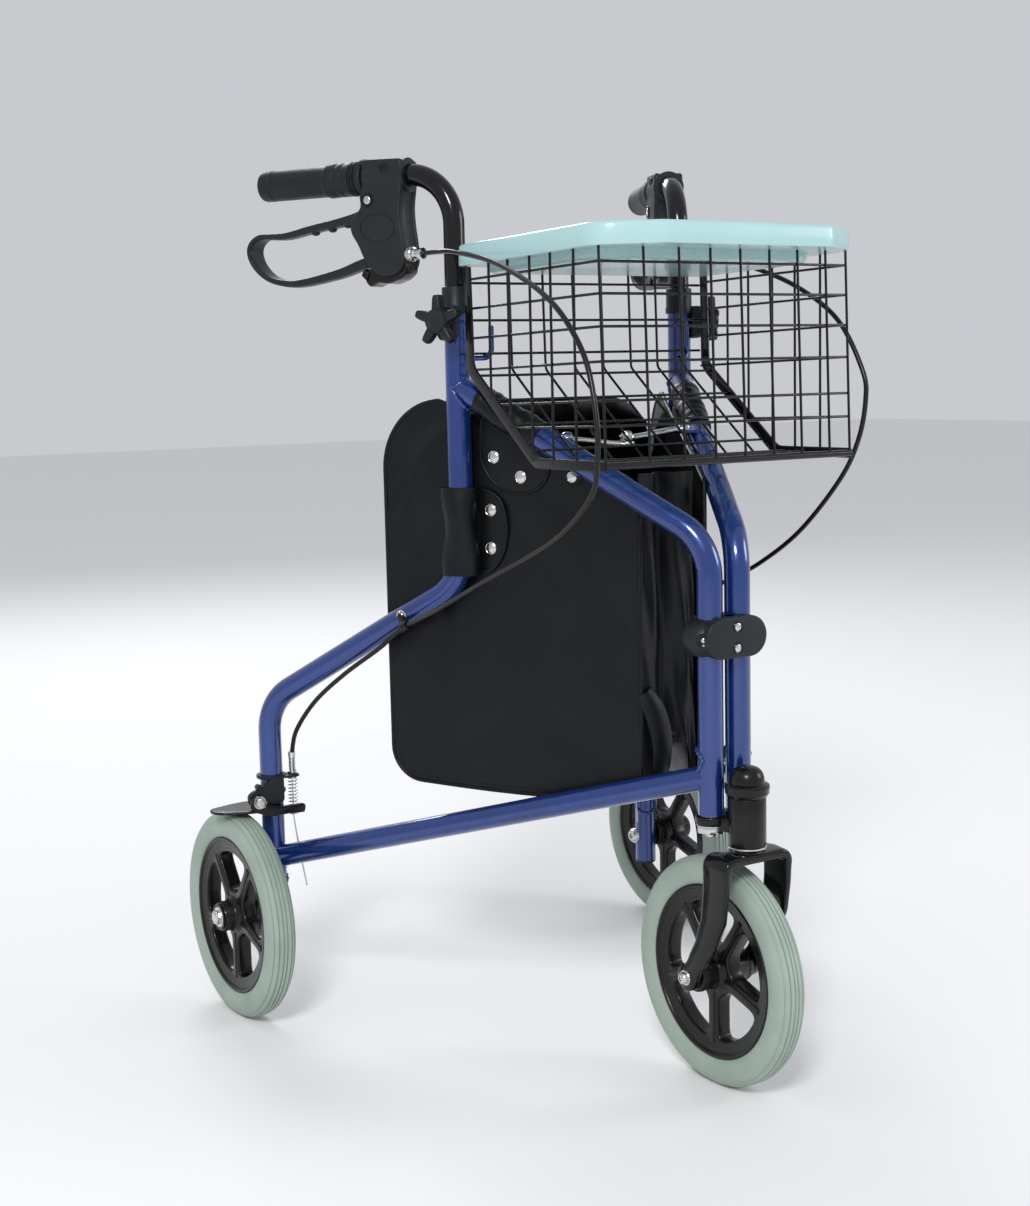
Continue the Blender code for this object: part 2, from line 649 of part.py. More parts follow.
    def rear_wheel(self, side, word):
        centre = at(side * REAR_WHEEL_X, REAR_WHEEL_Y, WHEEL_R)
        pivot = "spin_" + word
        self.pivot(pivot, centre, "fold_" + word)
        self.wheel("rear_" + word, centre, REAR_HUB_HALF, pivot)
        leg = in_frame(side, LEG_U, WHEEL_R)
        inner = REAR_WHEEL_X - abs(leg.x) + TUBE_R + GAP
        axle = self.axle("rear_axle_" + word, centre, X_AXIS * side, inner, REAR_HUB_HALF + GAP)
        self.hang(axle, "fold_" + word)

    # Handles and brake levers ----------------------------------------------------

    def handle(self, side, word):
        """Height-adjusting handle: bent tube, grip, brake housing, lever and star knob."""
        slide = "height_" + word
        self.pivot(slide, in_frame(side, UPRIGHT_U, UPRIGHT_TOP), "fold_" + word)
        along, outward = frame_axes(side)
        foot = in_frame(side, UPRIGHT_U, HANDLE_FOOT)
        elbow = in_frame(side, UPRIGHT_U, HANDLE_Z)
        path = arc_path([foot, elbow, elbow + along * (GRIP_SPAN[1] - 0.004)], [HANDLE_BEND_R], 6)
        tube = self.hollow_tube("handle_tube_" + word, path, HANDLE_R, TUBE_WALL, self.black_gloss)
        self.hang(tube, slide)

        start, end = GRIP_SPAN
        bore = HANDLE_R + GAP
        grip = [(0.0, end), (0.0110, end), (GRIP_R - 0.001, end - 0.0005), (GRIP_R, end - 0.003),
                (GRIP_R, start + 0.030),
                (GRIP_R + 0.0012, start + 0.026), (GRIP_R + 0.0004, start + 0.012),
                (GRIP_R + 0.0004, start + 0.006), (GRIP_R + 0.0025, start + 0.004),
                (GRIP_R + 0.0025, start + 0.0006), (bore, start + 0.0006), (bore, end - 0.0030),
                (0.0, end - 0.0030)]
        self.hang(turned_object("grip_" + word, grip, aim(elbow, along), self.rubber, self.parts, 16), slide)
        self.brake_housing(side, word, along, outward, elbow)
        self.lever(side, word, along, outward)

        nozzle, exit_way = self.cable_exit(side)
        barrel = [(0.0, 0.0), (0.0050, 0.0), (0.0050, -0.0060), (0.0034, -0.0065), (0.0034, -0.0110),
                  (0.0044, -0.0115), (0.0044, -0.0185), (0.0, -0.0185)]
        self.hang(turned_object("cable_adjuster_" + word, barrel, aim(nozzle, -exit_way), self.steel,
                                self.parts,
                                14), slide)

        collar = in_frame(side, UPRIGHT_U, UPRIGHT_TOP + GAP)
        sleeve = [(TUBE_R + 0.0009, 0.0205), (TUBE_R + 0.0012, 0.0195), (TUBE_R + 0.0012, 0.0),
                  (HANDLE_R + RUNNING, 0.0), (HANDLE_R + RUNNING, 0.0205)]
        boss = turned_object("collar_" + word, sleeve, Matrix.Translation(collar), self.plastic, self.parts,
                             16, True)
        knob_seat = in_frame(side, UPRIGHT_U, KNOB_Z)
        turn = Matrix.Translation(knob_seat) @ self.frame_turn(along, outward)
        self.join(boss, self.box("collar_tongue_" + word, (-0.0085, TUBE_R - 0.0015, -0.0170),
                                 (0.0085, 0.0200, 0.0125), self.plastic, 0.0, turn))
        self.cut(boss, self.rod("collar_cut_" + word, in_frame(side, UPRIGHT_U, KNOB_Z - 0.03),
                                in_frame(side, UPRIGHT_U, UPRIGHT_TOP + GAP), TUBE_R + GAP, self.plastic, 16))
        self.cut(boss, self.rod("collar_bore_" + word, in_frame(side, UPRIGHT_U, KNOB_Z),
                                in_frame(side, UPRIGHT_U, UPRIGHT_TOP + 0.04), HANDLE_R + RUNNING,
                                self.plastic, 16))
        self.cut(boss, self.rod("collar_hole_" + word, knob_seat + outward * 0.008,
                                knob_seat + outward * 0.03, 0.0036, self.plastic, 12))
        self.hang(boss, "fold_" + word)
        self.star_knob(word, knob_seat, outward)

    def frame_turn(self, along, outward):
        """A rotation taking local X along a side frame, Y outward and Z up."""
        turn = Matrix.Identity(4)
        turn.col[0] = (*along, 0.0)
        turn.col[1] = (*outward, 0.0)
        return turn

    def star_knob(self, word, place, outward):
        """A five-lobed knob with the threaded stud that locks the handle's height."""
        self.pivot("knob_" + word, place, "fold_" + word)
        outline = []
        for step in range(30):
            angle = 2.0 * math.pi * step / 30.0
            wave = 0.5 + 0.5 * math.cos(5.0 * angle)
            radius = 0.0115 + 0.0110 * wave ** 1.6
            outline.append((radius * math.cos(angle), radius * math.sin(angle)))
        matrix = aim(place + outward * 0.0300, outward, math.radians(90.0))
        knob = plate_object("star_knob_" + word, outline, 0.0110, matrix, self.plastic, self.parts)
        self.join(knob, self.rod("knob_neck_" + word, place + outward * 0.0206, place + outward * 0.0262,
                                 0.0085, self.plastic, 16))
        self.join(knob, self.rod("knob_stud_" + word, place + outward * (HANDLE_R + 0.0006),
                                 place + outward * 0.0262, 0.0030, self.steel, 12))
        self.hang(knob, "knob_" + word)

    def brake_housing(self, side, word, along, outward, elbow):
        """The moulded brake body that clamps on the handle and holds the lever."""
        outline = [(0.0440, 0.8060), (0.0870, 0.8075), (0.0870, 0.7840), (0.0905, 0.7760), (0.0890, 0.7655),
                   (0.1010, 0.7560), (0.1010, 0.7440), (0.0930, 0.7330), (0.0880, 0.7210), (0.0760, 0.7060),
                   (0.0580, 0.7035), (0.0440, 0.7110), (0.0440, 0.7300), (0.0470, 0.7480), (0.0480, 0.7660),
                   (0.0450, 0.7820)]
        turn = Matrix.Identity(4)
        turn.col[0] = (*along, 0.0)
        turn.col[1] = (0.0, 0.0, 1.0, 0.0)
        turn.col[2] = (*along.cross(Z_AXIS), 0.0)
        base = in_frame(side, UPRIGHT_U, 0.0)
        housing = plate_object("brake_housing_" + word, outline, 2.0 * HOUSING_HALF,
                               Matrix.Translation(base) @ turn, self.plastic, self.parts)
        bore = elbow + along * 0.03
        self.cut(housing, self.rod("housing_bore_" + word, bore, elbow + along * 0.1, HANDLE_R + GAP,
                                   self.plastic, 20))
        frame = Matrix.Translation(base) @ self.frame_turn(along, outward)
        self.cut(housing, self.box("lever_slot_" + word, (0.0640, -0.0072, 0.6990), (0.1100, 0.0072, 0.7640),
                                   self.plastic, 0.0, frame))
        self.cut(housing, self.box("lever_slot_top_" + word, (0.0720, -0.0072, 0.7600),
                                   (0.1100, 0.0072, 0.7800),
                                   self.plastic, 0.0, frame))
        self.hang(housing, "height_" + word)
        pin = in_frame(side, UPRIGHT_U + LEVER_PIVOT[0], LEVER_PIVOT[1])
        self.join(housing, self.rod("lever_pin_" + word, pin - outward * 0.0120, pin + outward * 0.0120,
                                    0.0022, self.steel, 12))

    def lever(self, side, word, along, outward):
        """The squeezed loop lever, turning about the pin in the housing."""
        pin = in_frame(side, UPRIGHT_U + LEVER_PIVOT[0], LEVER_PIVOT[1])
        self.pivot("lever_" + word, pin, "height_" + word)
        base = in_frame(side, UPRIGHT_U, 0.0)
        turn = Matrix.Identity(4)
        turn.col[0] = (*along, 0.0)
        turn.col[1] = (0.0, 0.0, 1.0, 0.0)
        turn.col[2] = (*along.cross(Z_AXIS), 0.0)
        place = Matrix.Translation(base) @ turn
        loop = [(0.0745, 0.7745), (0.0870, 0.7760), (0.0930, 0.7660), (0.1050, 0.7595), (0.1450, 0.7545),
                (0.1850, 0.7470), (0.1975, 0.7500), (0.2090, 0.7500), (0.2180, 0.7440), (0.2205, 0.7340),
                (0.2150, 0.7210), (0.2020, 0.7080), (0.1850, 0.7005), (0.1640, 0.6985), (0.1250, 0.7040),
                (0.0990, 0.7100), (0.0860, 0.7110), (0.0720, 0.7180), (0.0700, 0.7400)]
        lever = plate_object("brake_lever_" + word, loop, 0.0130, place, self.plastic, self.parts)
        window = [(0.1000, 0.7490), (0.1450, 0.7440), (0.1850, 0.7375), (0.1990, 0.7400), (0.2070, 0.7370),
                  (0.2060, 0.7300), (0.1960, 0.7180), (0.1820, 0.7110), (0.1640, 0.7090), (0.1260, 0.7140),
                  (0.1020, 0.7200), (0.0960, 0.7330)]
        self.cut(lever, plate_object("lever_window_" + word, window, 0.03, place, self.plastic, self.parts))
        self.cut(lever, self.rod("lever_hole_" + word, pin - outward * 0.02, pin + outward * 0.02,
                                 0.0022 + RUNNING, self.plastic, 12))
        self.hang(lever, "lever_" + word)

    # Brakes ----------------------------------------------------------------------

    def brake(self, side, word):
        """Bracket on the leg, see-saw arm with its shoe, pivot bolt and return spring."""
        leg = in_frame(side, LEG_U, 0.0)
        flip = Matrix.Diagonal((side, 1.0, 1.0, 1.0))
        shift = Matrix.Translation((0.0, POST_Y, 0.0))
        place = shift @ flip

        band = [(0.0145, 0.2360), (0.0145, 0.2165), (TUBE_R + GAP, 0.2165), (TUBE_R + GAP, 0.2360)]
        ring = turned_object("brake_bracket_" + word, band, Matrix.Translation((leg.x, leg.y, 0.0)),
                             self.plastic, self.parts, 16, True)
        self.join(ring, self.box("brake_ear_" + word, (0.2310, 0.3951, 0.2085), (0.2595, 0.4006, 0.2290),
                                 self.plastic, 0.0, place))
        self.join(ring, self.box("cable_stop_" + word, (0.2030, 0.3975, 0.2310), (0.2185, 0.4125, 0.2335),
                                 self.plastic, 0.0, place))
        self.cut(ring, self.rod("bracket_cut_" + word, (leg.x, leg.y, 0.19), (leg.x, leg.y, 0.25),
                                TUBE_R + GAP, self.plastic, 16))
        pivot_x, pivot_z = ARM_PIVOT
        bolt_at = at(side * pivot_x, 0.0, pivot_z)
        self.cut(ring, self.rod("ear_hole_" + word, bolt_at + Y_AXIS * 0.39, bolt_at + Y_AXIS * 0.41,
                                0.0025 + RUNNING, self.plastic, 12))
        self.hang(ring, "fold_" + word)

        head_y = 0.3884 - GAP
        bolt = [(0.0, 0.4032), (0.0025, 0.4032), (0.0025, head_y), (0.0052, head_y),
                (0.0050, head_y - 0.0030),
                (0.0, head_y - 0.0038)]
        self.hang(turned_object("brake_bolt_" + word, bolt, aim(bolt_at, Y_AXIS), self.steel, self.parts, 16),
                  "fold_" + word)

        self.pivot("brake_arm_pivot_" + word, bolt_at + Y_AXIS * 0.39, "fold_" + word)
        arm = self.box("brake_arm_" + word, (0.2030, 0.3885, 0.1985), (0.2560, 0.3945, 0.2065),
                       self.plastic, 0.0, place)
        self.join(arm, self.rod("arm_boss_" + word, bolt_at + Y_AXIS * 0.3884, bolt_at + Y_AXIS * 0.3946,
                                0.0068, self.plastic, 12))
        self.join(arm, self.box("arm_seat_" + word, (0.2030, 0.3890, 0.1972), (0.2155, 0.4130, 0.2000),
                                self.plastic, 0.0, place))
        self.join(arm, self.box("brake_shoe_" + word, (0.2425, 0.3888, 0.2028), (0.2900, 0.4360, 0.2070),
                                self.plastic, 0.0, place))
        self.cut(arm, self.rod("arm_hole_" + word, bolt_at + Y_AXIS * 0.38, bolt_at + Y_AXIS * 0.40,
                               0.0025 + RUNNING, self.plastic, 12))
        self.hang(arm, "brake_arm_pivot_" + word)

        turns = 5
        low = 0.2000 + 0.0009
        high = 0.2310 - 0.0009
        points = []
        for step in range(turns * 8 + 1):
            angle = 2.0 * math.pi * step / 8.0
            points.append(at(side * SPRING_XY[0] + SPRING_R * math.cos(angle),
                             SPRING_XY[1] + SPRING_R * math.sin(angle),
                             low + (high - low) * step / (turns * 8)))
        self.hang(tube_object("brake_spring_" + word, points, 0.0005, self.steel, self.parts, 1),
                  "fold_" + word)

    def cable_exit(self, side):
        """Where the cable's adjuster leaves the brake housing, and which way it points."""
        along, outward = frame_axes(side)
        return in_frame(side, UPRIGHT_U + 0.0425, 0.7225, 0.0075), (outward * 0.25 - along).normalized()

    def brake_cable(self, side, word, route):
        """The black brake cable from the lever housing down to the brake."""
        nozzle, exit_way = self.cable_exit(side)
        start = nozzle + exit_way * (0.0185 + GAP)
        end = at(side * SPRING_XY[0], SPRING_XY[1], 0.2335 + GAP)
        points = [start, start + exit_way * 0.018]
        points += [at(side * x, y, z) for x, y, z in route + LOWER_ROUTE]
        points.append(end)
        cable = tube_object("brake_cable_" + word, smooth_route(points, CABLE_POINTS), 0.0025, self.wire,
                            self.parts, 2)
        self.hang(cable, "fold_" + word)

    # Basket, tray and bag --------------------------------------------------------

    def side_profile(self, inset, top_extra):
        """The basket's outline seen from the side, shrunk by an inset."""
        slope = (RIM_FRONT[1] - RIM_REAR[1]) / (RIM_FRONT[0] - RIM_REAR[0])
        rear = RIM_REAR[0] - inset
        front = RIM_FRONT[0] + inset
        return [(rear, RIM_REAR[1] + top_extra - slope * inset), (0.1820 - inset, 0.6191 + inset * 0.45),
                (0.0828 - inset * 0.35, BASKET_FLOOR + inset), (-0.0151 + inset, BASKET_FLOOR + inset),
                (front, RIM_FRONT[1] + top_extra + slope * inset)]

    def basket(self):
        """Lift-off wire basket as one thin shell, open on top and behind the hooks."""
        self.pivot("basket_lift", at(0.0, 0.088, BASKET_FLOOR))
        turn = Matrix(((0.0, 0.0, 1.0, 0.0), (1.0, 0.0, 0.0, POST_Y), (0.0, 1.0, 0.0, 0.0),
                       (0.0, 0.0, 0.0, 1.0)))
        basket = plate_object("basket", self.side_profile(0.0, 0.0), 2.0 * BASKET_HALF, turn, self.wire,
                              self.parts)
        inside = plate_object("basket_inside", self.side_profile(BASKET_WALL, 0.03),
                              2.0 * (BASKET_HALF - BASKET_WALL), turn, self.wire, self.parts)
        self.cut(basket, inside)
        self.cut(basket, self.box("basket_hook_band", at(-BASKET_HALF + 0.004, 0.160, 0.6130),
                                  at(BASKET_HALF - 0.004, 0.200, 0.6860), self.wire))
        self.hang(basket, "basket_lift")

    def tray(self):
        """Lift-off tray on the basket: a deep rim round a sunk floor."""
        self.pivot("tray_lift", at(0.0, 0.088, RIM_REAR[1]), "basket_lift")
        tilt = math.atan2(RIM_REAR[1] - RIM_FRONT[1], RIM_REAR[0] - RIM_FRONT[0])
        rim_place = Matrix.Translation(at(0.0, RIM_REAR[0], RIM_REAR[1] + GAP))
        rim_place = rim_place @ Matrix.Rotation(tilt, 4, "X") @ Matrix.Translation((0.0, -RIM_REAR[0], 0.0))
        skirt_place = rim_place @ Matrix.Translation((0.0, 0.0, TRAY_HEIGHT / 2.0))
        across, back = TRAY_CHAMFER
        front_y, rear_y = TRAY_Y
        corners = [(TRAY_HALF - across, front_y, 0.004), (TRAY_HALF, front_y + back, 0.009),
                   (TRAY_HALF, rear_y, 0.012), (-TRAY_HALF, rear_y, 0.012),
                   (-TRAY_HALF, front_y + back, 0.009), (-TRAY_HALF + across, front_y, 0.004)]
        tray = plate_object("tray", eased_outline(corners), TRAY_HEIGHT, skirt_place, self.aqua, self.parts)
        half_x, low_y, high_y, front_r, rear_r = 0.1205, 0.0020, 0.1740, 0.036, 0.012
        outline = rounded_outline(half_x, low_y, high_y, front_r, rear_r)
        well_place = rim_place @ Matrix.Translation((0.0, 0.0, TRAY_WELL / 2.0 - TRAY_FLOOR - TRAY_WALL))
        self.join(tray, plate_object("tray_well", outline, TRAY_WELL, well_place, self.aqua, self.parts))
        outline = rounded_outline(half_x - TRAY_WALL, low_y + TRAY_WALL, high_y - TRAY_WALL,
                                  front_r - TRAY_WALL, rear_r - TRAY_WALL)
        hollow_place = rim_place @ Matrix.Translation((0.0, 0.0, RAISED / 2.0 - TRAY_FLOOR))
        hollow = plate_object("tray_hollow", outline, RAISED, hollow_place, self.aqua, self.parts)
        self.cut(tray, hollow)
        self.hang(tray, "tray_lift")

    def bag_panel(self, side, word):
        """A vinyl side panel of the bag, hung inside its side frame."""
        front, rear = BAG_U
        corner = 0.022
        outline = [(front, 0.5280), (front, BAG_BOTTOM + 0.012)]
        for step in range(5):
            angle = math.radians(-90.0 + 90.0 * step / 4.0)
            outline.append((rear - corner + corner * math.cos(angle),
                            BAG_BOTTOM + corner + corner * math.sin(angle)))
        corner = 0.055
        for step in range(6):
            angle = math.radians(90.0 * step / 5.0)
            outline.append((rear - corner + corner * math.cos(angle),
                            BAG_TOP - corner + corner * math.sin(angle)))
        outline += [(0.2400, BAG_TOP), (0.1950, 0.5560), (0.1000, 0.5280)]
        along = frame_axes(side)[0]
        turn = Matrix.Identity(4)
        turn.col[0] = (*along, 0.0)
        turn.col[1] = (0.0, 0.0, 1.0, 0.0)
        turn.col[2] = (*along.cross(Z_AXIS), 0.0)
        middle = (PANEL_N[0] + PANEL_N[1]) / 2.0
        base = in_frame(side, 0.0, 0.0, middle)
        panel = plate_object("bag_panel_" + word, outline, PANEL_N[1] - PANEL_N[0],
                             Matrix.Translation(base) @ turn, self.vinyl, self.parts)
        self.hang(panel, "fold_" + word)

    def bag_core(self):
        """Front, rear and bottom of the bag, one thin shell between the side panels."""
        front, rear = BAG_U
        inner = PANEL_N[0] - GAP
        corners = [in_frame(1, front + 0.003, 0.0, inner), in_frame(1, rear - 0.003, 0.0, inner),
                   in_frame(-1, rear - 0.003, 0.0, inner), in_frame(-1, front + 0.003, 0.0, inner)]
        outline = [(corner.x, corner.y) for corner in corners]
        top = 0.5800
        low = BAG_BOTTOM + 0.002
        core = plate_object("bag_core", outline, top - low, Matrix.Translation((0.0, 0.0, (top + low) / 2.0)),
                            self.vinyl, self.parts)
        wall = 0.0030
        hollow = self.box("bag_hollow", (-0.2, corners[0].y + wall, low + wall),
                          (0.2, corners[1].y - wall, 0.7),
                          self.vinyl)
        self.cut(core, hollow)
        self.cut(core, self.box("bag_front_top", (-0.2, corners[0].y - 0.01, 0.5280),
                                (0.2, corners[0].y + 0.05, 0.7), self.vinyl))

    def build(self):
        self.head()
        self.caster()
        for word, side in (("right", -1), ("left", 1)):
            self.side_frame(side, word)
            self.brace_link(side, word)
            self.rear_wheel(side, word)
            self.handle(side, word)
            self.brake(side, word)
            self.bag_panel(side, word)
        self.brake_cable(-1, "right", RIGHT_ROUTE)
        self.brake_cable(1, "left", LEFT_ROUTE)
        self.bag_core()
        self.basket()
        self.tray()


# Brake cable routes, as (distance out, distance back from the posts, height)
RIGHT_ROUTE = [
    (0.1450, 0.1830, 0.7205), (0.1520, 0.1150, 0.7090), (0.1600, 0.0560, 0.6920),
    (0.1660, 0.0080, 0.6720), (0.1700, -0.0250, 0.6500), (0.1730, -0.0510, 0.6210),
    (0.1750, -0.0650, 0.5800), (0.1750, -0.0650, 0.5510), (0.1740, -0.0570, 0.5250),
    (0.1710, -0.0190, 0.4960), (0.1680, 0.0320, 0.4725), (0.1670, 0.1120, 0.4425),
    (0.1660, 0.1900, 0.4115), (0.1650, 0.2510, 0.3900),
]
LEFT_ROUTE = [
    (0.1400, 0.1830, 0.7170), (0.1480, 0.1380, 0.7095), (0.1550, 0.0800, 0.6880),
    (0.1580, 0.0300, 0.6565), (0.1600, 0.0010, 0.6120), (0.1600, -0.0030, 0.5860),
    (0.1600, 0.0060, 0.5510), (0.1590, 0.0280, 0.5155), (0.1580, 0.0790, 0.4670),
    (0.1585, 0.1350, 0.4330), (0.1610, 0.1900, 0.4100), (0.1650, 0.2510, 0.3900),
]
LOWER_ROUTE = [
    (0.1760, 0.2820, 0.3670), (0.1890, 0.3245, 0.3400), (0.2010, 0.3640, 0.3100),
    (0.2080, 0.3930, 0.2780), (0.2085, 0.4040, 0.2540),
]


def main():
    clear_scene()
    walker = Walker()
    walker.build()


main()
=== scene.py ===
"""Three-wheeled rollator walker: surfaces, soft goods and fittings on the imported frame.

Metres, +Z up. The walker travels towards -Y and its user's right hand is at -X.
"""

import json
import math

import bmesh
import bpy
from mathutils import Matrix, Vector
from mathutils.geometry import tessellate_polygon


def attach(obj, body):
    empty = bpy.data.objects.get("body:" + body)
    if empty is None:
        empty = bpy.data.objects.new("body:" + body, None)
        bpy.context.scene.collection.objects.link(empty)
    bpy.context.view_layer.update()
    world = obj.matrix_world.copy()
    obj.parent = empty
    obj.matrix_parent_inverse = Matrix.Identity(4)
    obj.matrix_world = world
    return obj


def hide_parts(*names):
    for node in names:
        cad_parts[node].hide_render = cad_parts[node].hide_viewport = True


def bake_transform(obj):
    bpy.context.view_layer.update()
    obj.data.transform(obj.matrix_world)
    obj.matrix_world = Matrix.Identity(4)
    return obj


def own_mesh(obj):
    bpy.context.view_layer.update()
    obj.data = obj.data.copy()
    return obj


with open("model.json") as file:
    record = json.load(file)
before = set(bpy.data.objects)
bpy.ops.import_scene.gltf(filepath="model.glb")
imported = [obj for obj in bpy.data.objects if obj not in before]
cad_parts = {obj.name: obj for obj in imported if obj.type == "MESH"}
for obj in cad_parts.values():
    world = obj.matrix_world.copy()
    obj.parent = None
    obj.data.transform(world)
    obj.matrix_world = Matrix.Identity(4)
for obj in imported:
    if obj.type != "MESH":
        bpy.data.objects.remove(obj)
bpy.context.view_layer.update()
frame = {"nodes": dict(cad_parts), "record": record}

# Half the gap between the two posts' axes, and how far their line stands from the origin.
POST_X = 0.015
POST_Y = -0.2135
# Each side frame's plane opens by SPREAD; its upright and its rear leg stand this far along it.
SPREAD = math.radians(27.3)
UPRIGHT_U = 0.240
LEG_U = 0.4635
# The rear tube's two bends, and the lines of the top tube and the lower tube.
KNEE_Z = 0.4311
ANKLE_Z = 0.3058
BEND_R = 0.050
TOP_START = 0.4730
TOP_RISE = 0.5554
LOW_START = 0.2743
LOW_FALL = 0.2657
TUBE_R = 0.011
LOW_TUBE_R = TUBE_R - 0.0005
HANDLE_R = 0.0095
HANDLE_Z = 0.7925
KNOB_Z = 0.6625
GRIP = (0.0945, 0.2045)
BRACE_U = 0.140
BRACE_N = -0.016
BRACE_Z = 0.5598
CLAMP_Z = 0.3935
HEAD_Y = -0.029
FRONT_AXLE_Y = 0.0095
REAR_HUB = (0.2635, 0.4179)
WHEEL_R = 0.100
CLIP = (0.1650, 0.2510, 0.3900)
SIDES = ((-1, "right"), (1, "left"))
X_AXIS = Vector((1.0, 0.0, 0.0))
Y_AXIS = Vector((0.0, 1.0, 0.0))
Z_AXIS = Vector((0.0, 0.0, 1.0))


def at(x, y, z):
    """A point measured from the line between the two posts."""
    return Vector((x, POST_Y + y, z))


def frame_axes(side):
    """Unit vectors along a side frame and outward from it."""
    along = Vector((side * math.sin(SPREAD), math.cos(SPREAD), 0.0))
    outward = Vector((side * math.cos(SPREAD), -math.sin(SPREAD), 0.0))
    return along, outward


def in_frame(side, u, z, n=0.0):
    """A point on a side frame: u along it from the post, n outward from its plane."""
    along, outward = frame_axes(side)
    return at(side * POST_X, 0.0, z) + along * u + outward * n


def frame_matrix(side, u=0.0):
    """Local X along a side frame from a place on it, Y up and Z outward."""
    along, outward = frame_axes(side)
    place = in_frame(side, u, 0.0)
    return Matrix(((along.x, 0.0, outward.x, place.x), (along.y, 0.0, outward.y, place.y),
                   (0.0, 1.0, 0.0, place.z), (0.0, 0.0, 0.0, 1.0)))


def side_plane(place):
    """Local X to the rear, Y up and Z across the walker, at a place."""
    return Matrix(((0.0, 0.0, 1.0, place.x), (1.0, 0.0, 0.0, place.y), (0.0, 1.0, 0.0, place.z),
                   (0.0, 0.0, 0.0, 1.0)))


def front_plane(height=0.0, side=1.0):
    """Local X across, mirrored on one side, Y up and Z to the rear, from the line between the posts."""
    return Matrix(((side, 0.0, 0.0, 0.0), (0.0, 0.0, 1.0, POST_Y), (0.0, 1.0, 0.0, height),
                   (0.0, 0.0, 0.0, 1.0)))


def top_tube_z(u):
    """The top tube's height, where it runs straight, at a distance along the frame."""
    return TOP_START + TOP_RISE * u


def low_tube_z(u):
    """The lower tube's height at a distance along the frame."""
    return LOW_START - LOW_FALL * u


def turns(steps):
    """The cosine and sine at equal steps round a circle."""
    angles = [2.0 * math.pi * k / steps for k in range(steps)]
    return [(math.cos(angle), math.sin(angle)) for angle in angles]


def soften(value, power):
    """A cosine or sine drawn toward a box, which gives a section flat sides and round corners."""
    return math.copysign(abs(value) ** power, value)


def spline(p0, p1, p2, p3, t):
    """A place between p1 and p2 on the smooth curve through four points."""
    return 0.5 * (2.0 * p1 + (p2 - p0) * t + (2.0 * p0 - 5.0 * p1 + 4.0 * p2 - p3) * t ** 2
                  + (3.0 * p1 - p0 - 3.0 * p2 + p3) * t ** 3)


def aim(place, axis, turn=0.0):
    """A matrix whose local Z lies along an axis at a place."""
    rotation = Vector(axis).to_track_quat("Z", "Y").to_matrix().to_4x4()
    return Matrix.Translation(place) @ rotation @ Matrix.Rotation(turn, 4, "Z")


# Finishes -------------------------------------------------------------------------

def node(tree, kind, **values):
    """A shader node with its settings and input values filled in."""
    made = tree.nodes.new(kind)
    for key, value in values.items():
        if hasattr(made, key):
            setattr(made, key, value)
        else:
            made.inputs[key.replace("_", " ")].default_value = value
    return made


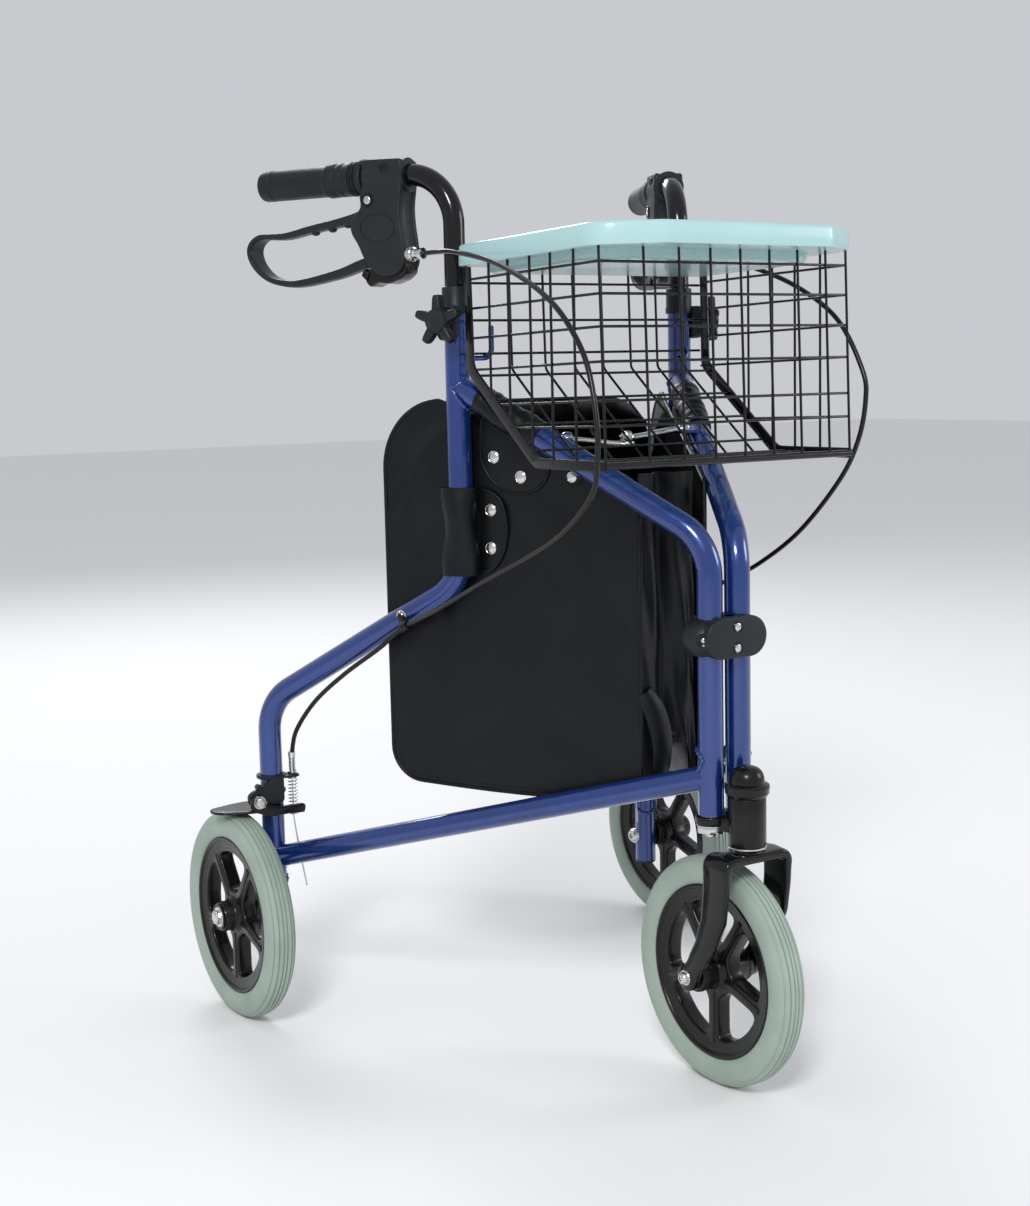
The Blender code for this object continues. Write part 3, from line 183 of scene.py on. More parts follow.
def finish_material(name, colour, rough, metallic=0.0, coat=0.0, coat_rough=0.06, vary=0.1,
                    vary_scale=30.0,
                    rough_vary=0.06, grain=(600.0, 0.0002, 0.2), pebble=None, relief=None, specular=0.5,
                    sheen=0.0, flake=None):
    """A shader with colour and roughness that vary, fine grain, and larger relief in its bump."""
    material = bpy.data.materials.new(name)
    material.use_nodes = True
    tree = material.node_tree
    shader = tree.nodes["Principled BSDF"]
    link = tree.links.new
    shader.inputs["Metallic"].default_value = metallic
    shader.inputs["Coat Weight"].default_value = coat
    shader.inputs["Coat Roughness"].default_value = coat_rough
    shader.inputs["Specular IOR Level"].default_value = specular
    shader.inputs["Sheen Weight"].default_value = sheen
    place = node(tree, "ShaderNodeTexCoord").outputs["Object"]
    broad = node(tree, "ShaderNodeTexNoise", Scale=vary_scale, Detail=5.0)
    link(place, broad.inputs["Vector"])
    ramp = node(tree, "ShaderNodeValToRGB")
    ramp.color_ramp.elements[0].position = 0.3
    ramp.color_ramp.elements[1].position = 0.7
    ramp.color_ramp.elements[0].color = (*[c * (1.0 - vary) for c in colour], 1.0)
    ramp.color_ramp.elements[1].color = (*[min(1.0, c * (1.0 + vary)) for c in colour], 1.0)
    link(broad.outputs["Fac"], ramp.inputs["Fac"])
    tint = ramp.outputs["Color"]
    if flake:
        scale, strength = flake
        cells = node(tree, "ShaderNodeTexVoronoi", Scale=scale)
        link(place, cells.inputs["Vector"])
        spread = node(tree, "ShaderNodeMapRange")
        spread.inputs["To Min"].default_value = 1.0 - strength
        spread.inputs["To Max"].default_value = 1.0 + strength
        link(cells.outputs["Color"], spread.inputs["Value"])
        scaled = node(tree, "ShaderNodeVectorMath", operation="SCALE")
        link(tint, scaled.inputs[0])
        link(spread.outputs["Result"], scaled.inputs["Scale"])
        tint = scaled.outputs["Vector"]
    link(tint, shader.inputs["Base Color"])
    smudge = node(tree, "ShaderNodeTexNoise", Scale=vary_scale * 2.7, Detail=6.0)
    link(place, smudge.inputs["Vector"])
    level = node(tree, "ShaderNodeMapRange")
    level.inputs["From Min"].default_value = 0.3
    level.inputs["From Max"].default_value = 0.7
    level.inputs["To Min"].default_value = max(0.02, rough - rough_vary)
    level.inputs["To Max"].default_value = rough + rough_vary
    link(smudge.outputs["Fac"], level.inputs["Value"])
    link(level.outputs["Result"], shader.inputs["Roughness"])
    normal = None
    layers = [("ShaderNodeTexNoise", grain, "Fac"), ("ShaderNodeTexVoronoi", pebble, "Distance"),
              ("ShaderNodeTexNoise", relief, "Fac")]
    for kind, values, output in layers:
        if values is None:
            continue
        scale, distance, strength = values
        texture = node(tree, kind, Scale=scale)
        link(place, texture.inputs["Vector"])
        bump = node(tree, "ShaderNodeBump", Strength=strength, Distance=distance)
        link(texture.outputs[output], bump.inputs["Height"])
        if normal is not None:
            link(normal, bump.inputs["Normal"])
        normal = bump.outputs["Normal"]
    link(normal, shader.inputs["Normal"])
    return material


FINISHES = {
    "blue_paint": finish_material("blue_paint", (0.006, 0.036, 0.200), 0.24, 0.45, 1.0, 0.05, 0.12, 22.0,
                                  0.05,
                                  (900.0, 0.0001, 0.10), flake=(2600.0, 0.35)),
    "black_paint": finish_material("black_paint", (0.0032, 0.0032, 0.0036), 0.16, 0.0, 0.30, 0.04, 0.2,
                                   30.0, 0.04,
                                   (700.0, 0.0001, 0.12), specular=0.25),
    "black_plastic": finish_material("black_plastic", (0.0115, 0.0150, 0.0165), 0.44, 0.0, 0.0, 0.1, 0.12,
                                     40.0, 0.06,
                                     (1500.0, 0.00025, 0.25), specular=0.30),
    "black_gloss_plastic": finish_material("black_gloss_plastic", (0.0045, 0.0042, 0.0040), 0.28, 0.0,
                                           0.12, 0.08,
                                           0.15, 40.0, 0.05, (800.0, 0.0001, 0.1), specular=0.28),
    "grip_rubber": finish_material("grip_rubber", (0.0085, 0.0100, 0.0125), 0.52, 0.0, 0.0, 0.1, 0.15,
                                   60.0, 0.06,
                                   (1800.0, 0.0003, 0.35), specular=0.30),
    "tyre_grey": finish_material("tyre_grey", (0.315, 0.395, 0.335), 0.60, 0.0, 0.0, 0.1, 0.08, 25.0,
                                 0.08,
                                 (900.0, 0.0003, 0.2)),
    "zinc_steel": finish_material("zinc_steel", (0.660, 0.655, 0.640), 0.22, 1.0, 0.0, 0.1, 0.10, 60.0,
                                  0.06,
                                  (500.0, 0.0001, 0.08)),
    "aqua_plastic": finish_material("aqua_plastic", (0.405, 0.620, 0.625), 0.24, 0.0, 0.25, 0.1, 0.03,
                                    12.0, 0.04,
                                    (500.0, 0.0001, 0.08)),
    "black_vinyl": finish_material("black_vinyl", (0.0035, 0.0042, 0.0052), 0.36, 0.0, 0.0, 0.1, 0.20,
                                   14.0, 0.07,
                                   (1400.0, 0.0003, 0.2), (850.0, 0.0004, 0.35), (26.0, 0.004, 0.35),
                                   0.24),
    "black_wire": finish_material("black_wire", (0.004, 0.004, 0.0045), 0.26, 0.0, 0.20, 0.08, 0.2, 50.0,
                                  0.05,
                                  (700.0, 0.0001, 0.1), specular=0.28),
    "cable_black": finish_material("cable_black", (0.005, 0.005, 0.005), 0.34, 0.0, 0.1, 0.1, 0.15, 50.0,
                                   0.05,
                                   (900.0, 0.0002, 0.15), specular=0.3),
}
PAINTED = {item["node"]: item["material_slot"] for item in frame["record"]["subparts"]}
for cad_name, cad_object in frame["nodes"].items():
    cad_object.data.materials.clear()
    cad_object.data.materials.append(FINISHES[PAINTED[cad_name]])


# Mesh building --------------------------------------------------------------------

def add_object(name, data):
    """A new object in the scene."""
    obj = bpy.data.objects.new(name, data)
    bpy.context.scene.collection.objects.link(obj)
    return obj


def piece(name, finish, body, parts, nodes=(), smooth=38.0):
    """One object from several lists of vertices and faces, riding on a body."""
    verts = []
    faces = []
    for part_verts, part_faces in parts:
        base = len(verts)
        verts += [tuple(v) for v in part_verts]
        faces += [tuple(i + base for i in face) for face in part_faces]
    mesh = bpy.data.meshes.new(name)
    mesh.from_pydata(verts, [], faces)
    bm = bmesh.new()
    bm.from_mesh(mesh)
    bmesh.ops.recalc_face_normals(bm, faces=bm.faces)
    bm.to_mesh(mesh)
    bm.free()
    mesh.shade_smooth()
    mesh.set_sharp_from_angle(angle=math.radians(smooth))
    mesh.materials.append(FINISHES[finish])
    obj = add_object(name, mesh)
    if body is not None:
        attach(obj, body)
    if nodes:
        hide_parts(*nodes)
    return obj


def ring_shell(rows, cyclic=False):
    """A tube through rings of points, joined end to end or closed at both ends."""
    width = len(rows[0])
    verts = [p for row in rows for p in row]
    faces = []
    for i in range(len(rows) if cyclic else len(rows) - 1):
        j = (i + 1) % len(rows)
        for k in range(width):
            m = (k + 1) % width
            faces.append((i * width + k, i * width + m, j * width + m, j * width + k))
    if not cyclic:
        faces.append(tuple(reversed(range(width))))
        faces.append(tuple((len(rows) - 1) * width + k for k in range(width)))
    return verts, faces


def sweep(points, radius, sides=12, radii=None, cyclic=False):
    """A round tube along points, with flat ends."""
    points = [Vector(p) for p in points]
    count = len(points)
    tangents = []
    for i in range(count):
        before = points[i - 1] if i or cyclic else points[i]
        after = points[(i + 1) % count] if i < count - 1 or cyclic else points[i]
        tangents.append((after - before).normalized())
    across = tangents[0].orthogonal().normalized()
    rings = []
    for i in range(count):
        if i:
            across = tangents[i - 1].rotation_difference(tangents[i]) @ across
            across = (across - tangents[i] * across.dot(tangents[i])).normalized()
        other = tangents[i].cross(across)
        size = radii[i] if radii else radius
        rings.append([points[i] + across * (size * c) + other * (size * s) for c, s in turns(sides)])
    return ring_shell(rings, cyclic)


def lathe(profile, matrix, steps=64, closed=False):
    """A shape turned about the matrix's Z axis from (radius, height) points."""
    verts = []
    rings = []
    for radius, height in profile:
        if radius < 1e-6:
            rings.append([len(verts)] * steps)
            verts.append(matrix @ Vector((0.0, 0.0, height)))
            continue
        rings.append(list(range(len(verts), len(verts) + steps)))
        verts += [matrix @ Vector((radius * c, radius * s, height)) for c, s in turns(steps)]
    faces = []
    pairs = list(zip(rings, rings[1:]))
    if closed:
        pairs.append((rings[-1], rings[0]))
    for low, high in pairs:
        for k in range(steps):
            m = (k + 1) % steps
            face = []
            for index in (low[k], low[m], high[m], high[k]):
                if index not in face:
                    face.append(index)
            if len(face) > 2:
                faces.append(face)
    return verts, faces


def disc(radius, low, high, matrix, steps):
    """A plain disc between two heights on the matrix's Z axis."""
    return lathe([(0.0, low), (radius, low), (radius, high), (0.0, high)], matrix, steps)


def mirrored(profile):
    """A profile and its mirror image in the middle plane, as one closed outline."""
    return profile + [(radius, -across) for radius, across in reversed(profile)]


def area(loop):
    """The signed area of a flat loop, positive where it runs anticlockwise."""
    return 0.5 * sum(a[0] * b[1] - b[0] * a[1] for a, b in zip(loop, loop[1:] + loop[:1]))


def inset(loop, amount):
    """A loop moved to its left by an amount."""
    moved = []
    count = len(loop)
    for i in range(count):
        before = Vector(loop[i - 1][:2])
        here = Vector(loop[i][:2])
        after = Vector(loop[(i + 1) % count][:2])
        first = (here - before).normalized()
        second = (after - here).normalized()
        left = Vector((-first.y - second.y, first.x + second.x))
        length = left.length
        if length < 1e-6:
            moved.append((here.x, here.y))
            continue
        left = left / length
        stretch = 1.0 / max(0.6, left.dot(Vector((-first.y, first.x))))
        place = here + left * amount * stretch
        moved.append((place.x, place.y))
    return moved


def plate(loops, low, high, matrix, bevel=0.0, steps=3):
    """A flat plate with holes and rounded edges; loops[0] is its outline, in the matrix's XY plane."""
    turned = []
    for index, loop in enumerate(loops):
        loop = [(p[0], p[1]) for p in loop]
        if (area(loop) > 0.0) != (index == 0):
            loop.reverse()
        turned.append(loop)
    if bevel:
        levels = []
        for step in range(steps + 1):
            angle = 0.5 * math.pi * step / steps
            levels.append((bevel * (1.0 - math.sin(angle)), low + bevel * (1.0 - math.cos(angle))))
        levels += [(amount, low + high - z) for amount, z in reversed(levels)]
    else:
        levels = [(0.0, low), (0.0, high)]
    verts = []
    faces = []
    starts = []
    for loop in turned:
        count = len(loop)
        starts.append(len(verts))
        base = len(verts)
        for amount, z in levels:
            for x, y in inset(loop, amount) if amount else loop:
                verts.append(matrix @ Vector((x, y, z)))
        for level in range(len(levels) - 1):
            for i in range(count):
                j = (i + 1) % count
                a = base + level * count
                b = a + count
                faces.append((a + i, a + j, b + j, b + i))
    for level in (0, len(levels) - 1):
        rings = []
        numbers = []
        for loop, start in zip(turned, starts):
            amount = levels[level][0]
            ring = inset(loop, amount) if amount else loop
            rings.append([Vector((x, y, 0.0)) for x, y in ring])
            numbers += [start + level * len(loop) + i for i in range(len(loop))]
        for triangle in tessellate_polygon(rings):
            faces.append(tuple(numbers[i] for i in triangle))
    return verts, faces


def sheet_grid(rows, offsets):
    """A thin shell: rows of points, and for each row the vector to its back face."""
    width = len(rows[0])
    verts = [Vector(p) for row in rows for p in row]
    back = len(verts)
    for row, offset in zip(rows, offsets):
        verts += [Vector(p) + Vector(offset) for p in row]
    faces = []
    for i in range(len(rows) - 1):
        for k in range(width - 1):
            a = i * width + k
            faces.append((a, a + 1, a + width + 1, a + width))
            faces.append((back + a, back + a + width, back + a + width + 1, back + a + 1))
    for i in range(len(rows) - 1):
        for k in (0, width - 1):
            a = i * width + k
            faces.append((a, a + width, back + a + width, back + a))
    for k in range(width - 1):
        for i in (0, len(rows) - 1):
            a = i * width + k
            faces.append((a, a + 1, back + a + 1, back + a))
    return verts, faces


def soft_corners(points, radius, steps=5):
    """A closed outline with its corners rounded; radius may be one number or one for each corner."""
    count = len(points)
    made = []
    for i in range(count):
        before = Vector(points[i - 1])
        here = Vector(points[i])
        after = Vector(points[(i + 1) % count])
        size = radius[i] if hasattr(radius, "__len__") else radius
        back = before - here
        ahead = after - here
        reach_back = min(size, 0.46 * back.length)
        reach_ahead = min(size, 0.46 * ahead.length)
        start = here + back.normalized() * reach_back
        end = here + ahead.normalized() * reach_ahead
        for step in range(steps + 1):
            t = step / steps
            place = start * (1.0 - t) ** 2 + here * 2.0 * t * (1.0 - t) + end * t ** 2
            made.append((place.x, place.y))
    return made


def capsule(start, end, radius, steps=12):
    """Two half circles joined by straight sides."""
    start = Vector(start)
    end = Vector(end)
    heading = math.atan2(end.y - start.y, end.x - start.x)
    outline = []
    for centre, first in ((end, heading - math.pi / 2.0), (start, heading + math.pi / 2.0)):
        for step in range(steps + 1):
            angle = first + math.pi * step / steps
            outline.append((centre.x + radius * math.cos(angle), centre.y + radius * math.sin(angle)))
    return outline


def circle(radius, steps):
    """A round outline about the origin."""
    return [(radius * c, radius * s) for c, s in turns(steps)]


def arc_path(corners, radii, steps=12):
    """A line through corners, each rounded by an arc of its radius."""
    path = [Vector(corners[0])]
    for before, corner, after, radius in zip(corners, corners[1:], corners[2:], radii):
        corner = Vector(corner)
        back = (Vector(before) - corner).normalized()
        ahead = (Vector(after) - corner).normalized()
        half = back.angle(ahead) / 2.0
        reach = radius / math.tan(half)
        centre = corner + (back + ahead).normalized() * (radius / math.sin(half))
        start = corner + back * reach - centre
        end = corner + ahead * reach - centre
        axis = start.cross(end).normalized()
        for step in range(steps + 1):
            path.append(centre + Matrix.Rotation(start.angle(end) * step / steps, 3, axis) @ start)
    path.append(Vector(corners[-1]))
    return path


def smooth_route(points, count):
    """A smooth line of points through a route's points."""
    route = [Vector(point) for point in points]
    padded = [route[0] * 2.0 - route[1]] + route + [route[-1] * 2.0 - route[-2]]
    line = []
    for step in range(count):
        place = step * (len(route) - 1) / (count - 1)
        index = min(int(place), len(route) - 2)
        line.append(spline(*padded[index:index + 4], place - index))
    return line


def screw_head(place, axis, radius, height):
    """A domed screw head with a hexagon socket, as a turned dome and a sunk dark cup."""
    matrix = aim(place, axis)
    floor = height * 0.45
    profile = [(0.0, floor), (radius * 0.42, floor), (radius * 0.46, height),
               (radius * 0.62, height * 0.98), (radius * 0.84, height * 0.80), (radius * 0.97, floor),
               (radius, 0.0), (0.0, 0.0)]
    return lathe(profile, matrix, 24)


def hexagon(place, axis, across, height, turn=0.0):
    """A hexagon nut or head with chamfered corners."""
    radius = across / math.sqrt(3.0)
    return plate([soft_corners(circle(radius, 6), radius * 0.08, 2)], 0.0, height, aim(place, axis, turn),
                 height * 0.10, 2)


# Side frames ----------------------------------------------------------------------

def weld_bead(start, heading, radius, post, post_r=TUBE_R):
    """A rippled bead along the line where a tube meets an upright one."""
    bead, ripple, ripples = 0.0021, 0.22, 17.0
    heading = heading.normalized()
    first = heading.orthogonal().normalized()
    second = heading.cross(first)
    flat = Vector((heading.x, heading.y))
    points = []
    radii = []
    count = 60
    for k, (cosine, sine) in enumerate(turns(count)):
        rim = start + first * (radius * cosine) + second * (radius * sine)
        rel = Vector((rim.x - post.x, rim.y - post.y))
        a = flat.dot(flat)
        b = 2.0 * rel.dot(flat)
        c = rel.dot(rel) - post_r * post_r
        reach = (-b - math.sqrt(max(0.0, b * b - 4.0 * a * c))) / (2.0 * a)
        points.append(rim + heading * reach)
        radii.append(bead * (1.0 + ripple * math.sin(2.0 * math.pi * k / count * ripples)))
    return sweep(points, bead, 8, radii, True)


def side_frame(side, word):
    """The rear tube with its hook, the top tube that bends into the post, the lower tube and the welds."""
    along = frame_axes(side)[0]
    body = "frame_" + word
    rear = arc_path([in_frame(side, UPRIGHT_U, 0.672), in_frame(side, UPRIGHT_U, KNEE_Z),
                     in_frame(side, LEG_U, ANKLE_Z), in_frame(side, LEG_U, 0.072)], [BEND_R, BEND_R], 14)
    top_u = UPRIGHT_U - 0.003
    front = arc_path([in_frame(side, top_u, top_tube_z(top_u)), in_frame(side, 0.0, TOP_START),
                      in_frame(side, 0.0, 0.2416)], [BEND_R], 18)
    lower = [in_frame(side, u, low_tube_z(u)) for u in (0.0035, LEG_U - 0.003)]
    upright = in_frame(side, UPRIGHT_U, 0.0)
    post = in_frame(side, 0.0, 0.0)
    foot = in_frame(side, LEG_U, 0.0)
    # The lower tube's beads start from inside the tube and run out to the post and the leg.
    inward = along * 0.06
    welds = [weld_bead(front[6], front[0] - front[1], TUBE_R, upright),
             weld_bead(lower[1] - inward, lower[1] - lower[0], LOW_TUBE_R, foot),
             weld_bead(lower[0] + inward, lower[0] - lower[1], LOW_TUBE_R, post)]
    hook_root = in_frame(side, UPRIGHT_U, 0.630) - along * (TUBE_R - 0.002)
    hook_end = hook_root - along * 0.0262
    hook = arc_path([hook_root, hook_end, hook_end + Z_AXIS * 0.026], [0.008], 8)
    tip = [(0.0025, 0.0), (0.0024, 0.0012), (0.0015, 0.0024), (0.0, 0.0027)]
    piece("upright_" + word, "blue_paint", body,
          [sweep(rear, TUBE_R, 32), sweep(hook, 0.0025, 14),
           sweep([hook_root - along * 0.0005, hook_root - along * 0.0035], 0.0042, 14, [0.0048, 0.0028]),
           lathe(tip, Matrix.Translation(hook[-1] - Z_AXIS * 0.0006), 14)], ["rear_tube_" + word])
    piece("top_tube_" + word, "blue_paint", body, [sweep(front, TUBE_R, 32)] + brace_lug(side),
          ["front_tube_" + word])
    piece("low_tube_" + word, "blue_paint", body, [sweep(lower, LOW_TUBE_R, 32)], ["lower_tube_" + word])
    piece("welds_" + word, "blue_paint", body, welds, (), 60.0)
    plug = [(0.0, 0.0692), (0.0085, 0.0694), (0.0104, 0.0703), (0.0110, 0.0718), (0.0110, 0.0726),
            (0.0, 0.0726)]
    piece("leg_plug_" + word, "black_plastic", body, [lathe(plug, Matrix.Translation(foot), 32)])


def brace_lug(side):
    """The lug on the top tube and the pin that a brace link turns on."""
    level = BRACE_Z if side < 0 else BRACE_Z + 0.0023
    pin = in_frame(side, BRACE_U, 0.0, BRACE_N)
    start = in_frame(side, BRACE_U, 0.0, -0.004)
    matrix = Matrix.Translation((pin.x, pin.y, 0.0))
    outline = capsule((0.0, 0.0), (start.x - pin.x, start.y - pin.y), 0.0062, 8)
    turned = [(0.0, -0.003), (0.0024, -0.003), (0.0024, 0.0023), (0.0045, 0.0023), (0.0044, 0.0031),
              (0.0034, 0.0040), (0.0018, 0.0044), (0.0, 0.0045)]
    return [plate([outline], level - 0.0038, level - 0.0003, matrix, 0.0008),
            lathe([(radius, level + height) for radius, height in turned], matrix, 20)]


def brace_link(side, word):
    """A polished link that dips slightly toward the middle rivet, with a domed pin at its outer end."""
    pin = in_frame(side, BRACE_U, 0.0, BRACE_N)
    level = 0.5572 if side < 0 else 0.5628
    dip, half_wide, half_thick = 0.0060, 0.0052, 0.0026
    rings = []
    for i in range(27):
        share = i / 26.0
        z = level - dip * share * share * (3.0 - 2.0 * share)
        ends = min(1.0, 0.25 + 5.0 * min(share, 1.0 - share))
        wide = half_wide * (0.8 + 0.2 * ends)
        rings.append([Vector((pin.x * (1.0 - share), pin.y + soften(c, 0.6) * wide,
                              z + soften(s, 0.8) * half_thick))
                      for c, s in turns(24)])
    outer = [(0.0, 0.0060), (0.0030, 0.0057), (0.0046, 0.0046), (0.0052, 0.0030), (0.0056, 0.0024),
             (0.0058, 0.0), (0.0056, -0.0024), (0.0, -0.0028)]
    inner = [(0.0, 0.0026), (0.0066, 0.0025), (0.0072, 0.0016), (0.0072, -0.0016), (0.0066, -0.0025),
             (0.0, -0.0026)]
    rivet = [(0.0, 0.0062), (0.0026, 0.0058), (0.0046, 0.0046), (0.0054, 0.0024), (0.0, 0.0022)]
    middle = Matrix.Translation((0.0, pin.y, level - dip))
    parts = [ring_shell(rings), lathe(outer, Matrix.Translation((pin.x, pin.y, level)), 32),
             lathe(inner, middle, 32)]
    if side > 0:
        parts.append(lathe(rivet, middle, 24))
    piece("link_" + word, "zinc_steel", "brace_" + word, parts, ["brace_link_" + word])


# Head, clamp and caster -----------------------------------------------------------

def head():
    """The steering tube with its cap, the post nuts, and the bracket between them."""
    base = at(0.0, HEAD_Y, 0.0)
    low = 0.2603
    tube = [(0.0160, 0.2592), (0.0157, 0.2600), (0.0145, 0.2600), (0.0145, 0.2190), (0.0157, 0.2190),
            (0.0160, 0.2198)]
    piece("steering_tube", "black_gloss_plastic", "head", [lathe(tube, Matrix.Translation(base), 72,
                                                                 True)],
          ["head_tube"])
    dome = [(0.0, low + 0.0262), (0.0035, low + 0.0261), (0.0070, low + 0.0255), (0.0102, low + 0.0240),
            (0.0126, low + 0.0215), (0.0141, low + 0.0182), (0.0147, low + 0.0150),
            (0.0149, low + 0.0120),
            (0.0160, low + 0.0113), (0.0178, low + 0.0110), (0.0187, low + 0.0103),
            (0.0190, low + 0.0090),
            (0.0190, low + 0.0070), (0.0186, low + 0.0064), (0.0186, low + 0.0042),
            (0.0184, low + 0.0030),
            (0.0174, low + 0.0022), (0.0168, low + 0.0006), (0.0160, low), (0.0, low)]
    piece("steering_cap", "black_gloss_plastic", "head", [lathe(dome, Matrix.Translation(base), 72)],
          ["head_cap"])
    washer = [(0.0, 0.2187), (0.0156, 0.2187), (0.0164, 0.2181), (0.0164, 0.2172), (0.0126, 0.2170),
              (0.0120, 0.2160), (0.0104, 0.2158), (0.0102, 0.2143), (0.0, 0.2143)]
    piece("stem_washers", "zinc_steel", "caster", [lathe(washer, Matrix.Translation(base), 48)],
          ["fork_stem"])
    for side, word in SIDES:
        place = at(side * POST_X, 0.0, 0.0)
        nut = hexagon(place + Z_AXIS * 0.2262, Z_AXIS, 0.0220, 0.0066, 0.3 * side)
        washer = lathe([(0.0, 0.2337), (0.0124, 0.2337), (0.0128, 0.2334), (0.0128, 0.2329),
                        (0.0124, 0.2326),
                        (0.0, 0.2326)], Matrix.Translation(place), 40)
        thread = lathe([(0.0, 0.2222), (0.0040, 0.2222), (0.0048, 0.2230), (0.0048, 0.2266),
                        (0.0, 0.2266)],
                       Matrix.Translation(place), 24)
        bush = lathe([(0.0, 0.2440), (0.0090, 0.2440), (0.0107, 0.2434), (0.0107, 0.2414), (0.0, 0.2414)],
                     Matrix.Translation(place), 32)
        piece("post_nut_" + word, "zinc_steel", "head", [nut, washer, thread, bush],
              ["pivot_bolt_" + word])
    bracket = [capsule((-POST_X, POST_Y), (POST_X, POST_Y), 0.0135, 14)]
    arm = soft_corners([(-0.0130, POST_Y + HEAD_Y + 0.0080), (0.0130, POST_Y + HEAD_Y + 0.0080),
                        (0.0195, POST_Y), (-0.0195, POST_Y)], 0.002, 4)
    piece("post_bracket", "black_gloss_plastic", "head",
          [plate(bracket, 0.2340, 0.2410, Matrix.Identity(4), 0.0014),
           plate([arm], 0.2290, 0.2405, Matrix.Identity(4), 0.0010)],
          ["head_bracket"])
    clamp()


def clamp():
    """The two-part clamp: a flat pill-shaped face over two rounded ends, with sunk socket screws."""
    front = front_plane(CLAMP_Z)
    half = 0.0174
    face_y = -0.0186
    end_y = 0.0022
    # Each end: the side it is on, its middle, its reach, and how far out its screw and cup stand.
    ends = ((-1, -0.0190, 0.0205, 0.0202), (1, 0.0140, 0.0175, 0.0172))
    pill = capsule((-0.0152, 0.0), (0.0148, 0.0), half, 16)
    core = soft_corners([(-0.0205, -half), (0.0205, -half), (0.0205, half), (-0.0205, half)], 0.002, 3)
    parts = [plate([pill], face_y, -0.0002, front, 0.0016, 4),
             plate([core], -0.0135, -0.0002, front, 0.0030, 4)]
    screws = []
    cups = []
    for z in (CLAMP_Z - 0.0090, CLAMP_Z + 0.0090):
        matrix = aim(at(0.0, face_y, z), -Y_AXIS)
        cups.append(lathe([(0.0034, -0.0004), (0.0044, -0.0004), (0.0049, 0.0004), (0.0044, 0.0009),
                           (0.0036, 0.0006)], matrix, 24, True))
        screws.append(screw_head(at(0.0, face_y, z), -Y_AXIS, 0.0034, 0.0010))
    for side, x, reach, screw_reach in ends:
        profile = [(max(0.0, reach * math.cos(math.radians(a))), half * math.sin(math.radians(a)))
                   for a in range(-90, 91, 6)]
        parts.append(lathe(profile, Matrix.Translation(at(x, end_y, CLAMP_Z)), 56))
        axis = Vector((side * 0.66, -0.75, 0.0)).normalized()
        place = at(x, end_y, CLAMP_Z) + axis * screw_reach
        cups.append(lathe([(0.0, 0.0004), (0.0034, 0.0005), (0.0042, 0.0010), (0.0054, 0.0013),
                           (0.0060, 0.0004), (0.0056, -0.0030), (0.0, -0.0030)], aim(place, axis), 28))
        screws.append(screw_head(place + axis * 0.0002, axis, 0.0022, 0.0010))
    piece("clamp_face", "black_plastic", "head", parts, ["clamp_front"])
    piece("clamp_back", "black_plastic", "head", [plate([core], 0.0002, 0.0185, front, 0.0040, 5)],
          ["clamp_rear"])
    piece("clamp_screws", "zinc_steel", "head", screws)
    piece("clamp_cups", "black_gloss_plastic", "head", cups)


def fork_reach(z):
    """The fork leg's centre and half width, front to back, at a height."""
    table = ((0.0960, 0.0092, 0.0108), (0.1060, 0.0052, 0.0112), (0.1180, -0.0048, 0.0120),
             (0.1380, -0.0168, 0.0134),
             (0.1600, -0.0252, 0.0146), (0.1860, -0.0284, 0.0152), (0.2060, -0.0290, 0.0158),
             (0.2200, -0.0290, 0.0162))
    for (z0, c0, w0), (z1, c1, w1) in zip(table, table[1:]):
        if z <= z1:
            t = max(0.0, min(1.0, (z - z0) / (z1 - z0)))
            t = t * t * (3.0 - 2.0 * t) * 0.35 + t * 0.65
            return c0 + (c1 - c0) * t, w0 + (w1 - w0) * t
    return table[-1][1:]


